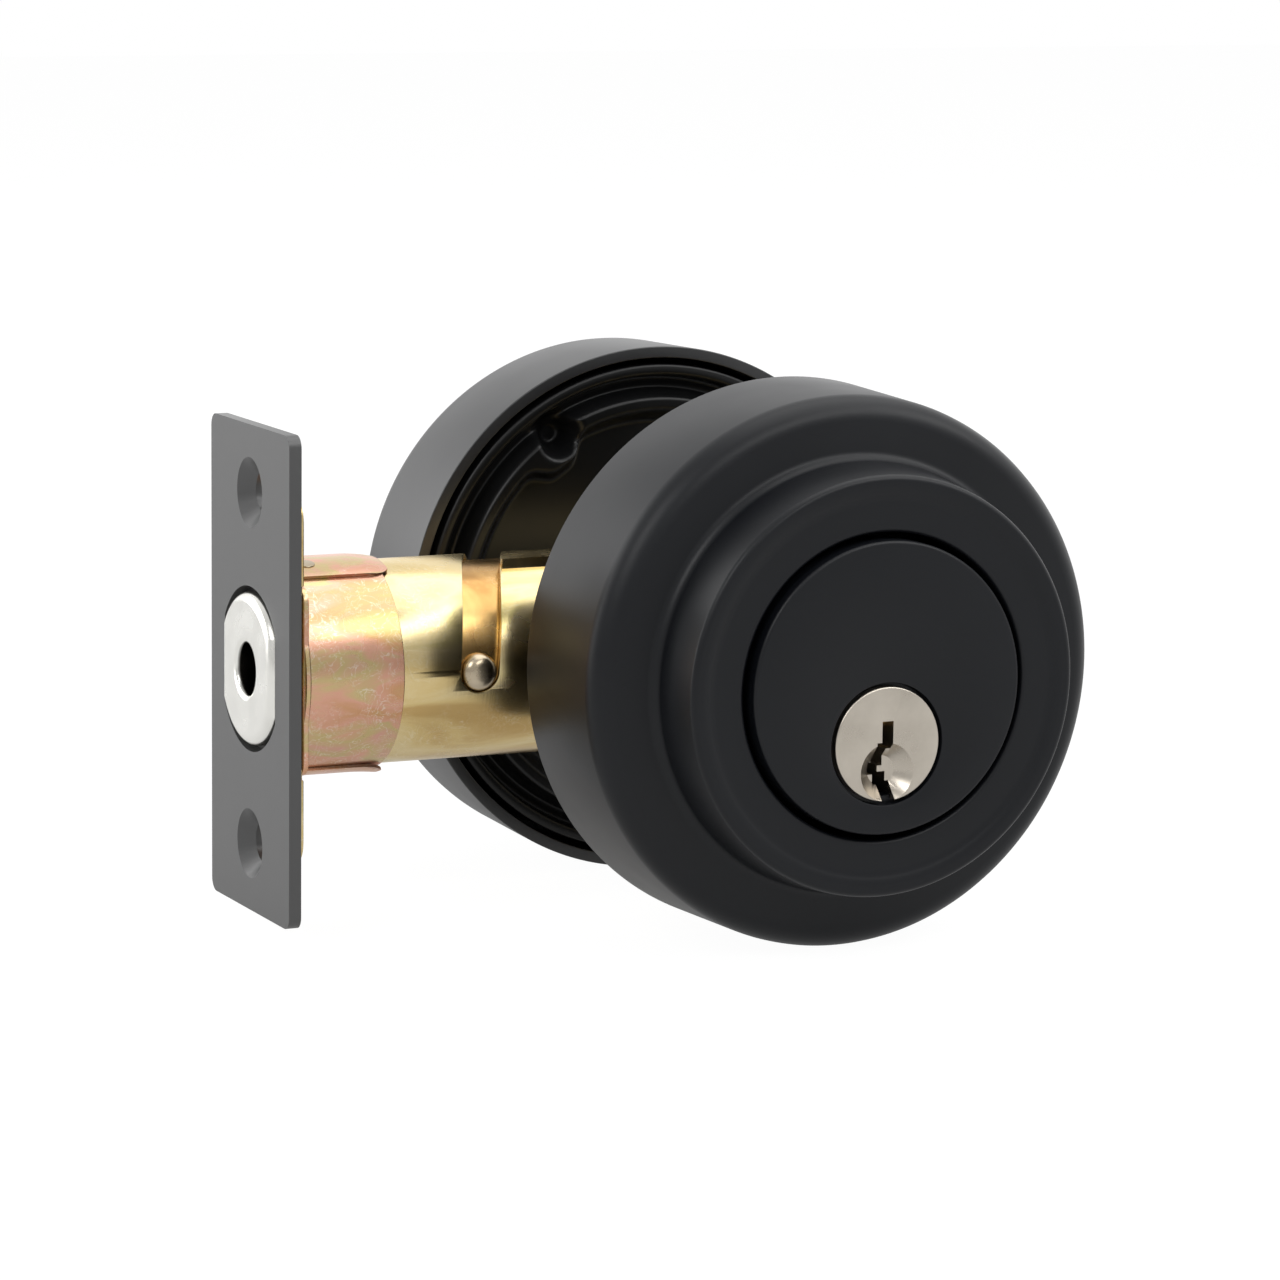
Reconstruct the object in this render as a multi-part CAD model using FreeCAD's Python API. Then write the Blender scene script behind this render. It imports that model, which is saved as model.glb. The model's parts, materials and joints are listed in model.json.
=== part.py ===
import FreeCAD
import Part
import math
import os

# Deadbolt lock with a keyed outside, a turn piece inside and a tubular latch.
# Millimetres. The origin is on the bolt's axis, half way through the door, where the
# roses' cross bore crosses it. -Y is the outside, +Y the inside, +Z is up, and the
# bolt throws towards -X.

# door and backset
door_thickness = 35.0
backset = 60.0
cross_bore_radius = 27.0
rose_rise = 1.2            # the roses' centre above the bolt's axis
plug_drop = 6.4            # the plug's axis below the roses' centre

# general clearances
running_gap = 0.05         # a shaft in its bore, on the radius
free_gap = 0.3             # pieces that pass each other without touching
seat_gap = 0.1             # sheet pieces that lie in each other

# roses, all depths measured out from the door's face
rose_radius = 32.6
rose_taper = 0.5
rose_wall = 1.4
shoulder_depth = 17.9
shoulder_round = 2.5
ring_base_radius = 25.0
ring_base_depth = 18.9
ring_lip_radius = 24.2
outer_ring_depth = 26.9
inner_ring_depth = 22.9
rose_mouth_radius = 18.0
mouth_lip_depth = 3.4

# cylinder
cylinder_face_depth = 27.5
cylinder_face_radius = 16.9
cylinder_face_thick = 3.5
drum_radius = 16.0
flange_radius = 22.4
flange_thick = 2.7
housing_back = 0.3
plug_radius = 6.15
plug_head_radius = 6.6
plug_head_thick = 1.2
plug_mouth_radius = 7.0
plug_stub_radius = 4.6
plug_stub_length = 3.1
keyway_width = 1.4
keyway_top = 2.65
keyway_jog = 1.1
keyway_jog_height = 0.2
key_guide_radius = 3.4
key_guide_drop = 3.2
key_guide_depth = 1.6

# pin stacks
pin_count = 5
pin_pitch = 3.96
first_pin_depth = 22.5
pin_radius = 1.4
pin_shortfalls = [0.75, 1.55, 0.35, 1.15, 1.75]   # each pin is this much shorter than the plug's radius
pin_drop = 1.6
driver_length = 4.6
driver_lift = 2.0
spring_wire = 0.17
spring_turns = 6
chamber_top = 14.2
cover_thick = 0.9
cover_width = 4.9

# tailpiece and turn
tail_width = 5.2
tail_thick = 1.6
tail_inner_end = 31.0
retainer_radius = 7.6
retainer_thick = 0.8
cross_pin_radius = 0.75

# support ring behind the outside rose
spigot_radius = 26.5
spigot_tube_gap = 1.95     # the spigot stops this far from the latch tube
spigot_wall = 1.3
ring_thick = 1.6

# inside mounting plate
plate_radius = 30.4
plate_thick = 1.2
plate_set_back = 2.1
plate_skirt = 9.0
rim_width = 1.5
bead_radius = 25.3
bead_width = 2.0
bead_flank = 0.7
bead_reach = 0.8
pocket_radius = 2.2
pocket_angle = 121.0

# turn piece
turn_shaft_radius = 6.9
turn_base_radius = 10.5
turn_base_thick = 3.0
turn_height = 21.0
turn_length = 39.0
turn_neck = 20.0
turn_thick = 9.0
turn_shaft_end = 6.0
clip_radius = 9.6
clip_thick = 0.9
clip_groove = 1.0
clip_depth = 19.0

# through bolts
through_spacing = 34.0
through_radius = 2.4
through_head_radius = 4.3
through_head_thick = 2.6
through_tip = 15.5
post_radius = 3.6
post_tip = 6.0

# set screw of the inside rose
set_screw_radius = 1.75
set_screw_depth = 6.0

# faceplate
faceplate_width = 25.4
faceplate_height = 57.15
faceplate_thick = 1.5
faceplate_corner = 1.5
screw_spacing = 41.3
screw_hole_radius = 2.4
screw_sink_radius = 4.1
screw_dimple_wall = 1.0
screw_dimple_reach = 1.3
bolt_window_radius = 9.7
bolt_window_half = 8.2
backing_height = 43.0
backing_width = 24.0
backing_thick = 0.6
backing_notch = 0.5
backing_notch_height = 22.4

# latch tubes
case_radius = 12.0
case_wall = 0.7
case_front = 50.0
case_rear = 24.0
land_near = 5.0
land_far = 0.6
land_rise = 0.05
land_front = 30.3
sleeve_radius = 11.2
sleeve_wall = 0.7
sleeve_rear = 21.0
collar_wall = 0.35
collar_rear = 45.6
collar_flange_height = 22.0
collar_flange_width = 24.0
collar_flange_thick = 0.6
finger_radius = 13.3
finger_thick = 0.6
finger_half_angle = 27.0
finger_rear = 44.6
slot_width = 4.8
slot_start = 36.0
slot_lead = 0.0135         # travel along the tube for each degree round it, at the stud
slot_curve = 0.0005        # and how fast that grows, as far as the top
slot_bend_end = 90
backset_change = 10.0      # the twist of the sleeve that the slot allows
slot_step = 4
stud_head_radius = 2.25
stud_shank_radius = 1.4
stud_head_rise = 1.7
guide_length = 10.4

# bolt
throw = 25.4
turn_angle = 90.0
bolt_radius = 9.0
bolt_half_flat = 7.8
bolt_proud = 0.6
bolt_rear = 24.0
bolt_edge = 1.0
bolt_hole_radius = 3.1
bolt_hole_depth = 24.0
guard_pin_front = 7.5
bolt_slot_depth = 10.0
tail_plate_half = 1.0
tail_low = 5.0
tail_bar_low = 3.2
tail_rivet_radius = 1.5
tail_rivet_offset = 3.0
fork_clearance = 0.7
fork_prong = 3.0
fork_floor = 4.8
fork_base = 1.6
fork_top = 13.4

# crank
hub_radius = 5.4
hub_half_length = 12.4
hub_hole_length = 5.8
hub_hole_width = 2.2
crank_pin_radius = 2.0
crank_eye_radius = 3.2
cheek_inner = 1.4
cheek_outer = 3.4

half_door = door_thickness / 2
plug_z = rose_rise - plug_drop
plug_face = half_door + cylinder_face_depth
bore_radius = plug_radius + running_gap
chamber_radius = pin_radius + running_gap
shear_z = plug_z + plug_radius
crank_arm = throw / (2 * math.sin(math.radians(turn_angle / 2)))
crank_rest_angle = 90.0 - turn_angle / 2
crank_pin_x = crank_arm * math.cos(math.radians(crank_rest_angle))
crank_pin_z = plug_z + crank_arm * math.sin(math.radians(crank_rest_angle))
plate_back = backset - faceplate_thick
backing_back = plate_back - backing_thick
collar_inner = case_radius + seat_gap / 2
land_top = case_radius + land_rise
bolt_front = backset + bolt_proud
spigot_reach = half_door - land_top - spigot_tube_gap
pin_lengths = [plug_radius - shortfall for shortfall in pin_shortfalls]
tail_bar_high = bolt_radius


def vec(x, y, z):
    return FreeCAD.Vector(x, y, z)


def rod_x(radius, x0, x1, y=0.0, z=0.0):
    return Part.makeCylinder(radius, x1 - x0, vec(x0, y, z), vec(1, 0, 0))


def rod_y(radius, y0, y1, x=0.0, z=0.0):
    return Part.makeCylinder(radius, y1 - y0, vec(x, y0, z), vec(0, 1, 0))


def rod_z(radius, z0, z1, x=0.0, y=0.0):
    return Part.makeCylinder(radius, z1 - z0, vec(x, y, z0), vec(0, 0, 1))


def block(x0, x1, y0, y1, z0, z1):
    return Part.makeBox(x1 - x0, y1 - y0, z1 - z0, vec(x0, y0, z0))


def outline(corners):
    """A face in the XY plane from corners (x, y, rounding radius)."""
    spans = []
    count = len(corners)
    for index, (x, y, radius) in enumerate(corners):
        here = vec(x, y, 0)
        before = corners[index - 1]
        after = corners[(index + 1) % count]
        to_before = (vec(before[0], before[1], 0) - here).normalize()
        to_after = (vec(after[0], after[1], 0) - here).normalize()
        if radius == 0:
            spans.append((here, None, here))
            continue
        half = to_before.getAngle(to_after) / 2
        run = radius / math.tan(half)
        inward = (to_before + to_after).normalize()
        crown = here + inward * (radius / math.sin(half) - radius)
        spans.append((here + to_before * run, crown, here + to_after * run))
    edges = []
    for index, (first, crown, last) in enumerate(spans):
        if crown is not None:
            edges.append(Part.Arc(first, crown, last).toShape())
        following = spans[(index + 1) % count][0]
        if last.distanceToPoint(following) > 1e-6:
            edges.append(Part.LineSegment(last, following).toShape())
    return Part.Face(Part.Wire(edges))


def turned(corners, side, z=0.0, x=0.0):
    """A solid turned about Y from corners (radius, depth from the door's face, rounding).
    side is -1 outside the door and 1 inside it."""
    placed = [(r, side * (half_door + depth), rounding) for r, depth, rounding in corners]
    solid = outline(placed).revolve(vec(0, 0, 0), vec(0, 1, 0), 360)
    solid.translate(vec(x, 0, z))
    return solid


def sheet_x(corners, x0, x1):
    """A plate square to X from corners (y, z, rounding)."""
    face = outline(corners)
    face.rotate(vec(0, 0, 0), vec(1, 1, 1), 120)
    face.translate(vec(x0, 0, 0))
    return face.extrude(vec(x1 - x0, 0, 0))


def sheet_y(corners, y0, y1):
    """A plate square to Y from corners (x, z, rounding)."""
    face = outline(corners)
    face.rotate(vec(0, 0, 0), vec(1, 0, 0), 90)
    face.translate(vec(0, y0, 0))
    return face.extrude(vec(0, y1 - y0, 0))


def rectangle(half_u, half_v, rounding):
    return [(-half_u, -half_v, rounding), (half_u, -half_v, rounding),
            (half_u, half_v, rounding), (-half_u, half_v, rounding)]


def double_d(radius, half_flat, x0, x1):
    return rod_x(radius, x0, x1).common(block(x0, x1, -half_flat, half_flat, -radius, radius))


def screw_heights():
    return [-screw_spacing / 2, screw_spacing / 2]


def through_places():
    return [-through_spacing / 2, through_spacing / 2]


def pin_places():
    return [-(half_door + first_pin_depth) + index * pin_pitch for index in range(pin_count)]


# outside: rose, support ring, cylinder

def make_exterior_rose():
    top = rose_radius - rose_taper
    return turned([
        (rose_radius, 0, 0), (top, shoulder_depth, shoulder_round),
        (ring_base_radius, ring_base_depth, 0.9), (ring_lip_radius, outer_ring_depth, 1.0),
        (rose_mouth_radius, outer_ring_depth - 0.3, 0.7),
        (rose_mouth_radius, outer_ring_depth - mouth_lip_depth, 0),
        (rose_mouth_radius + rose_wall, outer_ring_depth - mouth_lip_depth, 0),
        (rose_mouth_radius + rose_wall, outer_ring_depth - rose_wall - 0.3, 0),
        (ring_lip_radius - rose_wall, outer_ring_depth - rose_wall - 0.3, 0),
        (ring_base_radius - rose_wall, ring_base_depth - rose_wall, 0),
        (top - rose_wall, shoulder_depth - rose_wall, 1.2),
        (rose_radius - rose_wall, 0, 0)], -1, rose_rise)


def make_rose_support_ring():
    inner = flange_radius + seat_gap
    outer = rose_radius - rose_wall - 2 * seat_gap
    return turned([
        (spigot_radius - spigot_wall, -spigot_reach, 0), (spigot_radius, -spigot_reach, 0),
        (spigot_radius, 0.2, 0), (outer, 0.2, 0), (outer, 0.2 + ring_thick, 0),
        (inner, 0.2 + ring_thick, 0), (inner, 0.2, 0),
        (spigot_radius - spigot_wall, 0.2, 0)], -1, rose_rise)


def make_cylinder_housing():
    body = turned([
        (0, cylinder_face_depth, 0), (cylinder_face_radius, cylinder_face_depth, 0.5),
        (cylinder_face_radius, cylinder_face_depth - cylinder_face_thick, 0),
        (drum_radius, cylinder_face_depth - cylinder_face_thick, 0),
        (drum_radius, housing_back + flange_thick, 0),
        (flange_radius, housing_back + flange_thick, 0),
        (flange_radius, housing_back, 0), (0, housing_back, 0)], -1, rose_rise)
    back = -(half_door + housing_back)
    for x in through_places():
        body = body.fuse(rod_y(post_radius, back - 1, -post_tip, x, plug_z))
    bore = rod_y(bore_radius, -plug_face - 1, back + 1, 0, plug_z)
    mouth = rod_y(plug_mouth_radius, -plug_face - 1, -plug_face + plug_head_thick + seat_gap, 0, plug_z)
    body = body.cut(bore.fuse(mouth))
    for y in pin_places():
        body = body.cut(rod_z(chamber_radius, plug_z, chamber_top, 0, y))
    slot_front = pin_places()[0] - pin_radius - 1
    slot_rear = pin_places()[-1] + pin_radius + 1
    half = cover_width / 2 + running_gap
    body = body.cut(block(-half, half, slot_front, slot_rear, chamber_top, rose_rise + drum_radius + 1))
    for x in through_places():
        body = body.cut(rod_y(through_radius + running_gap, back - flange_thick - 1, 0, x, plug_z))
    return body.removeSplitter()


def make_pin_cover_strip():
    front = pin_places()[0] - pin_radius - 1 + running_gap
    rear = pin_places()[-1] + pin_radius + 1 - running_gap
    half = cover_width / 2
    return block(-half, half, front, rear, chamber_top, chamber_top + cover_thick)


def make_cylinder_plug():
    back = -(half_door + housing_back) + running_gap
    body = rod_y(plug_radius, -plug_face + plug_head_thick / 2, back, 0, plug_z)
    head = turned([(0, cylinder_face_depth + 0.1, 0), (plug_head_radius, cylinder_face_depth + 0.1, 0.25),
                   (plug_head_radius, cylinder_face_depth - plug_head_thick, 0),
                   (0, cylinder_face_depth - plug_head_thick, 0)], -1, plug_z)
    stub = rod_y(plug_stub_radius, back - 1, back + plug_stub_length, 0, plug_z)
    body = body.fuse(head).fuse(stub)
    keyway_end = back - 2.5
    half = keyway_width / 2
    low = plug_z - plug_head_radius - 1
    upper = block(-half, half, -plug_face - 1, keyway_end,
                  plug_z - 0.6, plug_z + keyway_top)
    lower = block(-half - keyway_jog, half - keyway_jog, -plug_face - 1, keyway_end,
                  low, plug_z + keyway_jog_height)
    guide_front = -plug_face - 0.2
    guide = Part.makeCone(key_guide_radius + 0.2, key_guide_radius - key_guide_depth, key_guide_depth + 0.2,
                          vec(0, guide_front, plug_z - key_guide_drop), vec(0, 1, 0))
    body = body.cut(upper.fuse(lower)).cut(guide)
    for y in pin_places():
        body = body.cut(rod_z(chamber_radius, plug_z - pin_drop - 0.4, shear_z + 1, 0, y))
    slot_end = back + plug_stub_length
    slot_width_half = tail_thick / 2 + running_gap
    body = body.cut(block(-slot_width_half, slot_width_half, slot_end - 2.0, slot_end + 1,
                          plug_z - plug_stub_radius - 1, plug_z + plug_stub_radius + 1))
    body = body.cut(rod_x(cross_pin_radius, -plug_stub_radius - 1, plug_stub_radius + 1,
                          slot_end - 1.1, plug_z))
    return body.removeSplitter()


def make_plug_retainer():
    front = -(half_door + housing_back) + 2 * running_gap
    ring = rod_y(retainer_radius, front, front + retainer_thick, 0, plug_z)
    return ring.cut(rod_y(plug_stub_radius + running_gap, front - 1, front + retainer_thick + 1, 0, plug_z))


def make_bottom_pins():
    top = shear_z - 0.1
    pins = []
    for y, length in zip(pin_places(), pin_lengths):
        profile = outline([(0, top - length, 0), (0.4, top - length, 0), (pin_radius, top - length + 1.0, 0),
                           (pin_radius, top - 0.3, 0), (pin_radius - 0.5, top, 0), (0, top, 0)])
        profile.rotate(vec(0, 0, 0), vec(1, 0, 0), 90)
        pin = profile.revolve(vec(0, 0, 0), vec(0, 0, 1), 360)
        pin.translate(vec(0, y, 0))
        pins.append(pin)
    return Part.makeCompound(pins)


def driver_base():
    return shear_z + 0.1


def make_driver_pins():
    base = driver_base()
    return Part.makeCompound([rod_z(pin_radius, base, base + driver_length, 0, y) for y in pin_places()])


def make_pin_springs():
    low = driver_base() + driver_length + spring_wire
    high = chamber_top - spring_wire
    radius = pin_radius - spring_wire - 0.05
    springs = []
    for y in pin_places():
        helix = Part.makeHelix((high - low) / spring_turns, high - low, radius)
        ring = Part.Wire(Part.makeCircle(spring_wire, vec(radius, 0, 0), vec(0, 1, 0)))
        coil = Part.Wire(helix).makePipeShell([ring], True, True)
        coil.translate(vec(0, y, low))
        springs.append(coil)
    return Part.makeCompound(springs)


def make_tailpiece():
    back = -(half_door + housing_back) + running_gap
    start = back + plug_stub_length - 1.95
    bar = block(-tail_thick / 2, tail_thick / 2, start, tail_inner_end,
                plug_z - tail_width / 2, plug_z + tail_width / 2)
    return bar.cut(rod_x(cross_pin_radius, -tail_thick, tail_thick, back + plug_stub_length - 1.1, plug_z))


def make_tailpiece_pin():
    back = -(half_door + housing_back) + running_gap
    half = plug_stub_radius - 0.2
    return rod_x(cross_pin_radius, -half, half, back + plug_stub_length - 1.1, plug_z)


# latch: faceplate, tubes, bolt, crank

def make_faceplate():
    plate = sheet_x(rectangle(faceplate_width / 2, faceplate_height / 2, faceplate_corner),
                    -backset, -plate_back)
    plate = plate.cut(double_d(bolt_window_radius, bolt_window_half, -backset - 1, -plate_back + 1))
    # each screw hole is sunk at 45 degrees, and the metal it pushes back forms a short collar
    dimple_end = -plate_back + screw_dimple_reach
    for z in screw_heights():
        plate = plate.fuse(rod_x(screw_hole_radius + screw_dimple_wall, -plate_back - 0.5, dimple_end, 0, z))
        plate = plate.cut(rod_x(screw_hole_radius, -backset - 1, dimple_end + 1, 0, z))
        plate = plate.cut(Part.makeCone(screw_sink_radius, screw_hole_radius, screw_sink_radius - screw_hole_radius,
                                        vec(-backset, 0, z), vec(1, 0, 0)))
    return plate


def make_backing_plate():
    plate = sheet_x(rectangle(backing_width / 2, backing_height / 2, 3.0), -plate_back, -backing_back)
    for side in (-1, 1):
        edge = side * backing_width / 2
        low_y = min(edge, edge - side * backing_notch)
        high_y = max(edge, edge - side * backing_notch)
        notch = block(-plate_back - 1, -backing_back + 1, low_y, high_y,
                      -backing_notch_height / 2, backing_notch_height / 2)
        plate = plate.cut(notch)
    plate = plate.cut(rod_x(sleeve_radius + running_gap, -plate_back - 1, -backing_back + 1))
    for z in screw_heights():
        plate = plate.cut(rod_x(screw_hole_radius + screw_dimple_wall + seat_gap,
                                -plate_back - 1, -backing_back + 1, 0, z))
    return plate


def finger(side):
    """A curved strap of sheet over (1) or under (-1) the collar."""
    outer = rod_x(finger_radius, -backing_back, -finger_rear)
    inner = rod_x(finger_radius - finger_thick, -backing_back - 1, -finger_rear + 1)
    half = finger_radius * math.sin(math.radians(finger_half_angle))
    low = 0 if side > 0 else -finger_radius - 1
    return outer.cut(inner).common(block(-backing_back, -finger_rear, -half, half, low, low + finger_radius + 1))


def make_latch_collar():
    flange_back = backing_back - collar_flange_thick
    flange = sheet_x(rectangle(collar_flange_width / 2, collar_flange_height / 2, 2.0),
                     -backing_back, -flange_back)
    half = finger_radius * math.sin(math.radians(finger_half_angle))
    tongue = rod_x(finger_radius, -backing_back, -flange_back).common(
        block(-backing_back, -flange_back, -half, half, -finger_radius, finger_radius))
    neck = rod_x(collar_inner + collar_wall, -backing_back, -collar_rear)
    body = flange.fuse(tongue).fuse(neck).fuse(finger(1)).fuse(finger(-1))
    body = body.cut(rod_x(sleeve_radius + running_gap, -backing_back - 1, -flange_back + 0.01))
    body = body.cut(rod_x(collar_inner, -flange_back, -collar_rear + 1))
    return body.removeSplitter()


def make_latch_front_sleeve():
    tube = rod_x(sleeve_radius, -plate_back + seat_gap, -sleeve_rear)
    tube = tube.cut(rod_x(sleeve_radius - sleeve_wall, -plate_back, -sleeve_rear + 1))
    return tube.cut(rod_y(stud_shank_radius, -case_radius - 1, 0, -slot_start, 0))


def make_slot_stud():
    seat = sleeve_radius - sleeve_wall
    shank = rod_y(stud_shank_radius, -sleeve_radius - 0.1, -seat, -slot_start)
    dome_radius = (stud_head_radius ** 2 + stud_head_rise ** 2) / (2 * stud_head_rise)
    centre = vec(-slot_start, -sleeve_radius + dome_radius - stud_head_rise, 0)
    dome = Part.makeSphere(dome_radius, centre)
    low = -sleeve_radius - stud_head_rise
    dome = dome.common(rod_y(stud_head_radius, low, -sleeve_radius, -slot_start))
    return shank.fuse(dome)


def slot_travel(angle):
    """How far along the tube the slot has come at this many degrees from the stud."""
    bent = min(angle, slot_bend_end)
    slope = slot_lead + 2 * slot_curve * slot_bend_end
    return slot_lead * bent + slot_curve * bent ** 2 + slope * (angle - bent)


def slot_sweep():
    slope = slot_lead + 2 * slot_curve * slot_bend_end
    return slot_bend_end + int((backset_change - slot_travel(slot_bend_end)) / slope)


def slot_cutter():
    """The long slot that winds from the stud up and over the tube."""
    tools = []
    for angle in range(0, slot_sweep() + 1, slot_step):
        x = -slot_start + slot_travel(angle)
        turn = math.radians(angle)
        outward = vec(0, -math.cos(turn), math.sin(turn))
        start = vec(x, 0, 0) + outward * (sleeve_radius - sleeve_wall)
        tools.append(Part.makeCylinder(slot_width / 2, 4.0, start, outward))
    return tools[0].multiFuse(tools[1:])


def make_latch_rear_tube():
    tube = rod_x(case_radius, -case_front, case_rear)
    land = block(-land_front, case_rear, -land_near, land_far, 0, land_top)
    tube = tube.fuse(land)
    hollow = rod_x(case_radius - case_wall, -case_front - 1, case_rear + 1)
    land_hollow = block(-land_front + case_wall, case_rear + 1, -land_near + case_wall, land_far - case_wall,
                        0, land_top - case_wall)
    tube = tube.cut(hollow.fuse(land_hollow))
    tube = tube.cut(rod_y(hub_radius + running_gap, -case_radius - 1, case_radius + 1, 0, plug_z))
    for x in through_places():
        tube = tube.cut(rod_y(post_radius + free_gap, -case_radius - 1, case_radius + 1, x, plug_z))
    # the crank's arms swing out at the top, and the fork runs in a narrower slot
    reach = crank_arm + crank_eye_radius
    rise = case_radius - case_wall - 1.5 - plug_z
    arm_half = math.sqrt(reach ** 2 - rise ** 2) + free_gap
    arm_side = cheek_outer + free_gap
    fork_half = crank_pin_x + crank_pin_radius + fork_clearance + fork_prong + free_gap
    fork_side = tail_plate_half + free_gap
    tube = tube.cut(block(-arm_half, arm_half, -arm_side, arm_side, 0, land_top + 1))
    tube = tube.cut(block(-fork_half, fork_half, -fork_side, fork_side, 0, land_top + 1))
    return tube.cut(slot_cutter())


def make_bolt_guide():
    bush = rod_x(sleeve_radius - sleeve_wall, -plate_back + seat_gap, -plate_back + guide_length)
    window = double_d(bolt_radius + 2 * running_gap, bolt_half_flat + 2 * running_gap,
                      -plate_back, -plate_back + guide_length + 1)
    return bush.cut(window)


def make_bolt():
    body = double_d(bolt_radius, bolt_half_flat, -bolt_front, -bolt_rear)
    rim = [edge for edge in body.Edges if edge.BoundBox.XMax < -bolt_front + 0.001]
    body = body.makeFillet(bolt_edge, rim)
    body = body.cut(rod_x(bolt_hole_radius, -bolt_front - 1, -bolt_front + bolt_hole_depth))
    half = tail_plate_half + running_gap
    body = body.cut(block(-bolt_rear - bolt_slot_depth, -bolt_rear + 1, -half, half,
                          -bolt_radius - 1, bolt_radius + 1))
    for z in (-tail_rivet_offset, tail_rivet_offset):
        body = body.cut(rod_y(tail_rivet_radius, -bolt_radius, bolt_radius, -bolt_rear - bolt_slot_depth / 2, z))
    return body


def make_saw_guard_pin():
    front = -bolt_front + guard_pin_front
    rear = -bolt_front + bolt_hole_depth - running_gap
    pin = rod_x(bolt_hole_radius - running_gap, front, rear)
    rim = [edge for edge in pin.Edges if edge.BoundBox.XMax < front + 0.001]
    return pin.makeChamfer(0.6, rim)


def fork_limits():
    half = crank_pin_radius + fork_clearance
    return crank_pin_x - half, crank_pin_x + half


def make_bolt_tail():
    front = -bolt_rear - bolt_slot_depth + running_gap
    left, right = fork_limits()
    plate = sheet_y([
        (front, -tail_low, 0.5), (-bolt_rear, -tail_low, 0.5), (-bolt_rear + 1.5, tail_bar_low, 1.0),
        (left - fork_prong - 2, tail_bar_low, 1.0), (left - fork_prong, fork_base, 0.8),
        (right + fork_prong, fork_base, 1.0), (right + fork_prong, fork_top, 0.8),
        (right, fork_top, 0.5), (right, fork_floor, 1.5), (left, fork_floor, 1.5),
        (left, fork_top, 0.5), (left - fork_prong, fork_top, 0.8),
        (left - fork_prong, tail_bar_high, 1.0), (-bolt_rear + 1.5, tail_bar_high, 1.0),
        (-bolt_rear, tail_low, 0.5), (front, tail_low, 0.5)], -tail_plate_half, tail_plate_half)
    for z in (-tail_rivet_offset, tail_rivet_offset):
        plate = plate.cut(rod_y(tail_rivet_radius, -bolt_radius, bolt_radius, -bolt_rear - bolt_slot_depth / 2, z))
    return plate


def make_tail_rivets():
    edge = math.sqrt(bolt_radius ** 2 - (tail_rivet_offset + tail_rivet_radius) ** 2)
    half = min(bolt_half_flat - 2 * running_gap, edge - running_gap)
    x = -bolt_rear - bolt_slot_depth / 2
    return Part.makeCompound([rod_y(tail_rivet_radius, -half, half, x, z)
                              for z in (-tail_rivet_offset, tail_rivet_offset)])


def link_face(big, small, length):
    """Two circles and their outside tangents, the big one at the origin, along +X."""
    lean = math.acos((big - small) / length)
    up = vec(math.cos(lean), math.sin(lean), 0)
    down = vec(math.cos(lean), -math.sin(lean), 0)
    far = vec(length, 0, 0)
    edges = [Part.Arc(up * big, vec(-big, 0, 0), down * big).toShape(),
             Part.LineSegment(down * big, far + down * small).toShape(),
             Part.Arc(far + down * small, far + vec(small, 0, 0), far + up * small).toShape(),
             Part.LineSegment(far + up * small, up * big).toShape()]
    return Part.Face(Part.Wire(edges))


def cheek(y0, y1):
    face = link_face(hub_radius, crank_eye_radius, crank_arm)
    face.rotate(vec(0, 0, 0), vec(0, 0, 1), crank_rest_angle)
    face.rotate(vec(0, 0, 0), vec(1, 0, 0), 90)
    face.translate(vec(0, y0, plug_z))
    return face.extrude(vec(0, y1 - y0, 0))


def make_crank():
    hub = rod_y(hub_radius, -hub_half_length, hub_half_length, 0, plug_z)
    body = hub.fuse(cheek(-cheek_outer, -cheek_inner)).fuse(cheek(cheek_inner, cheek_outer))
    body = body.cut(block(-hub_hole_width / 2, hub_hole_width / 2, -hub_half_length - 1, hub_half_length + 1,
                          plug_z - hub_hole_length / 2, plug_z + hub_hole_length / 2))
    body = body.cut(rod_y(crank_pin_radius, -cheek_outer - 1, cheek_outer + 1, crank_pin_x, crank_pin_z))
    return body.removeSplitter()


def make_crank_pin():
    return rod_y(crank_pin_radius, -cheek_outer, cheek_outer, crank_pin_x, crank_pin_z)


# inside: mounting plate, rose, turn piece, through bolts

def make_interior_mounting_plate():
    back = plate_set_back + plate_thick
    bead_in = bead_radius - bead_width / 2
    bead_out = bead_radius + bead_width / 2
    inset = plate_thick * 0.5
    plate = turned([
        (0, plate_set_back, 0), (bead_in - bead_flank, plate_set_back, 0.4), (bead_in, -bead_reach, 0.4),
        (bead_out, -bead_reach, 0.4), (bead_out + bead_flank, plate_set_back, 0.4),
        (plate_radius - rim_width - 0.3, plate_set_back, 0), (plate_radius - rim_width, 0, 0.4),
        (plate_radius, 0, 0.4), (plate_radius, plate_skirt, 0), (plate_radius - plate_thick, plate_skirt, 0),
        (plate_radius - plate_thick, back, 0), (bead_out, back, 0),
        (bead_radius + bead_width / 2 - inset, plate_thick - bead_reach, 0),
        (bead_radius - bead_width / 2 + inset, plate_thick - bead_reach, 0),
        (bead_in, back, 0), (0, back, 0)], 1, rose_rise)
    near = half_door - bead_reach - 1
    far = half_door + back + 1
    plate = plate.cut(rod_y(turn_shaft_radius + 1.1, near, far, 0, plug_z))
    for x in through_places():
        plate = plate.cut(rod_y(through_radius + free_gap, near, far, x, plug_z))
    turn = math.radians(pocket_angle)
    return plate.cut(rod_y(pocket_radius, near, far, bead_radius * math.cos(turn),
                           rose_rise + bead_radius * math.sin(turn)))


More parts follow.
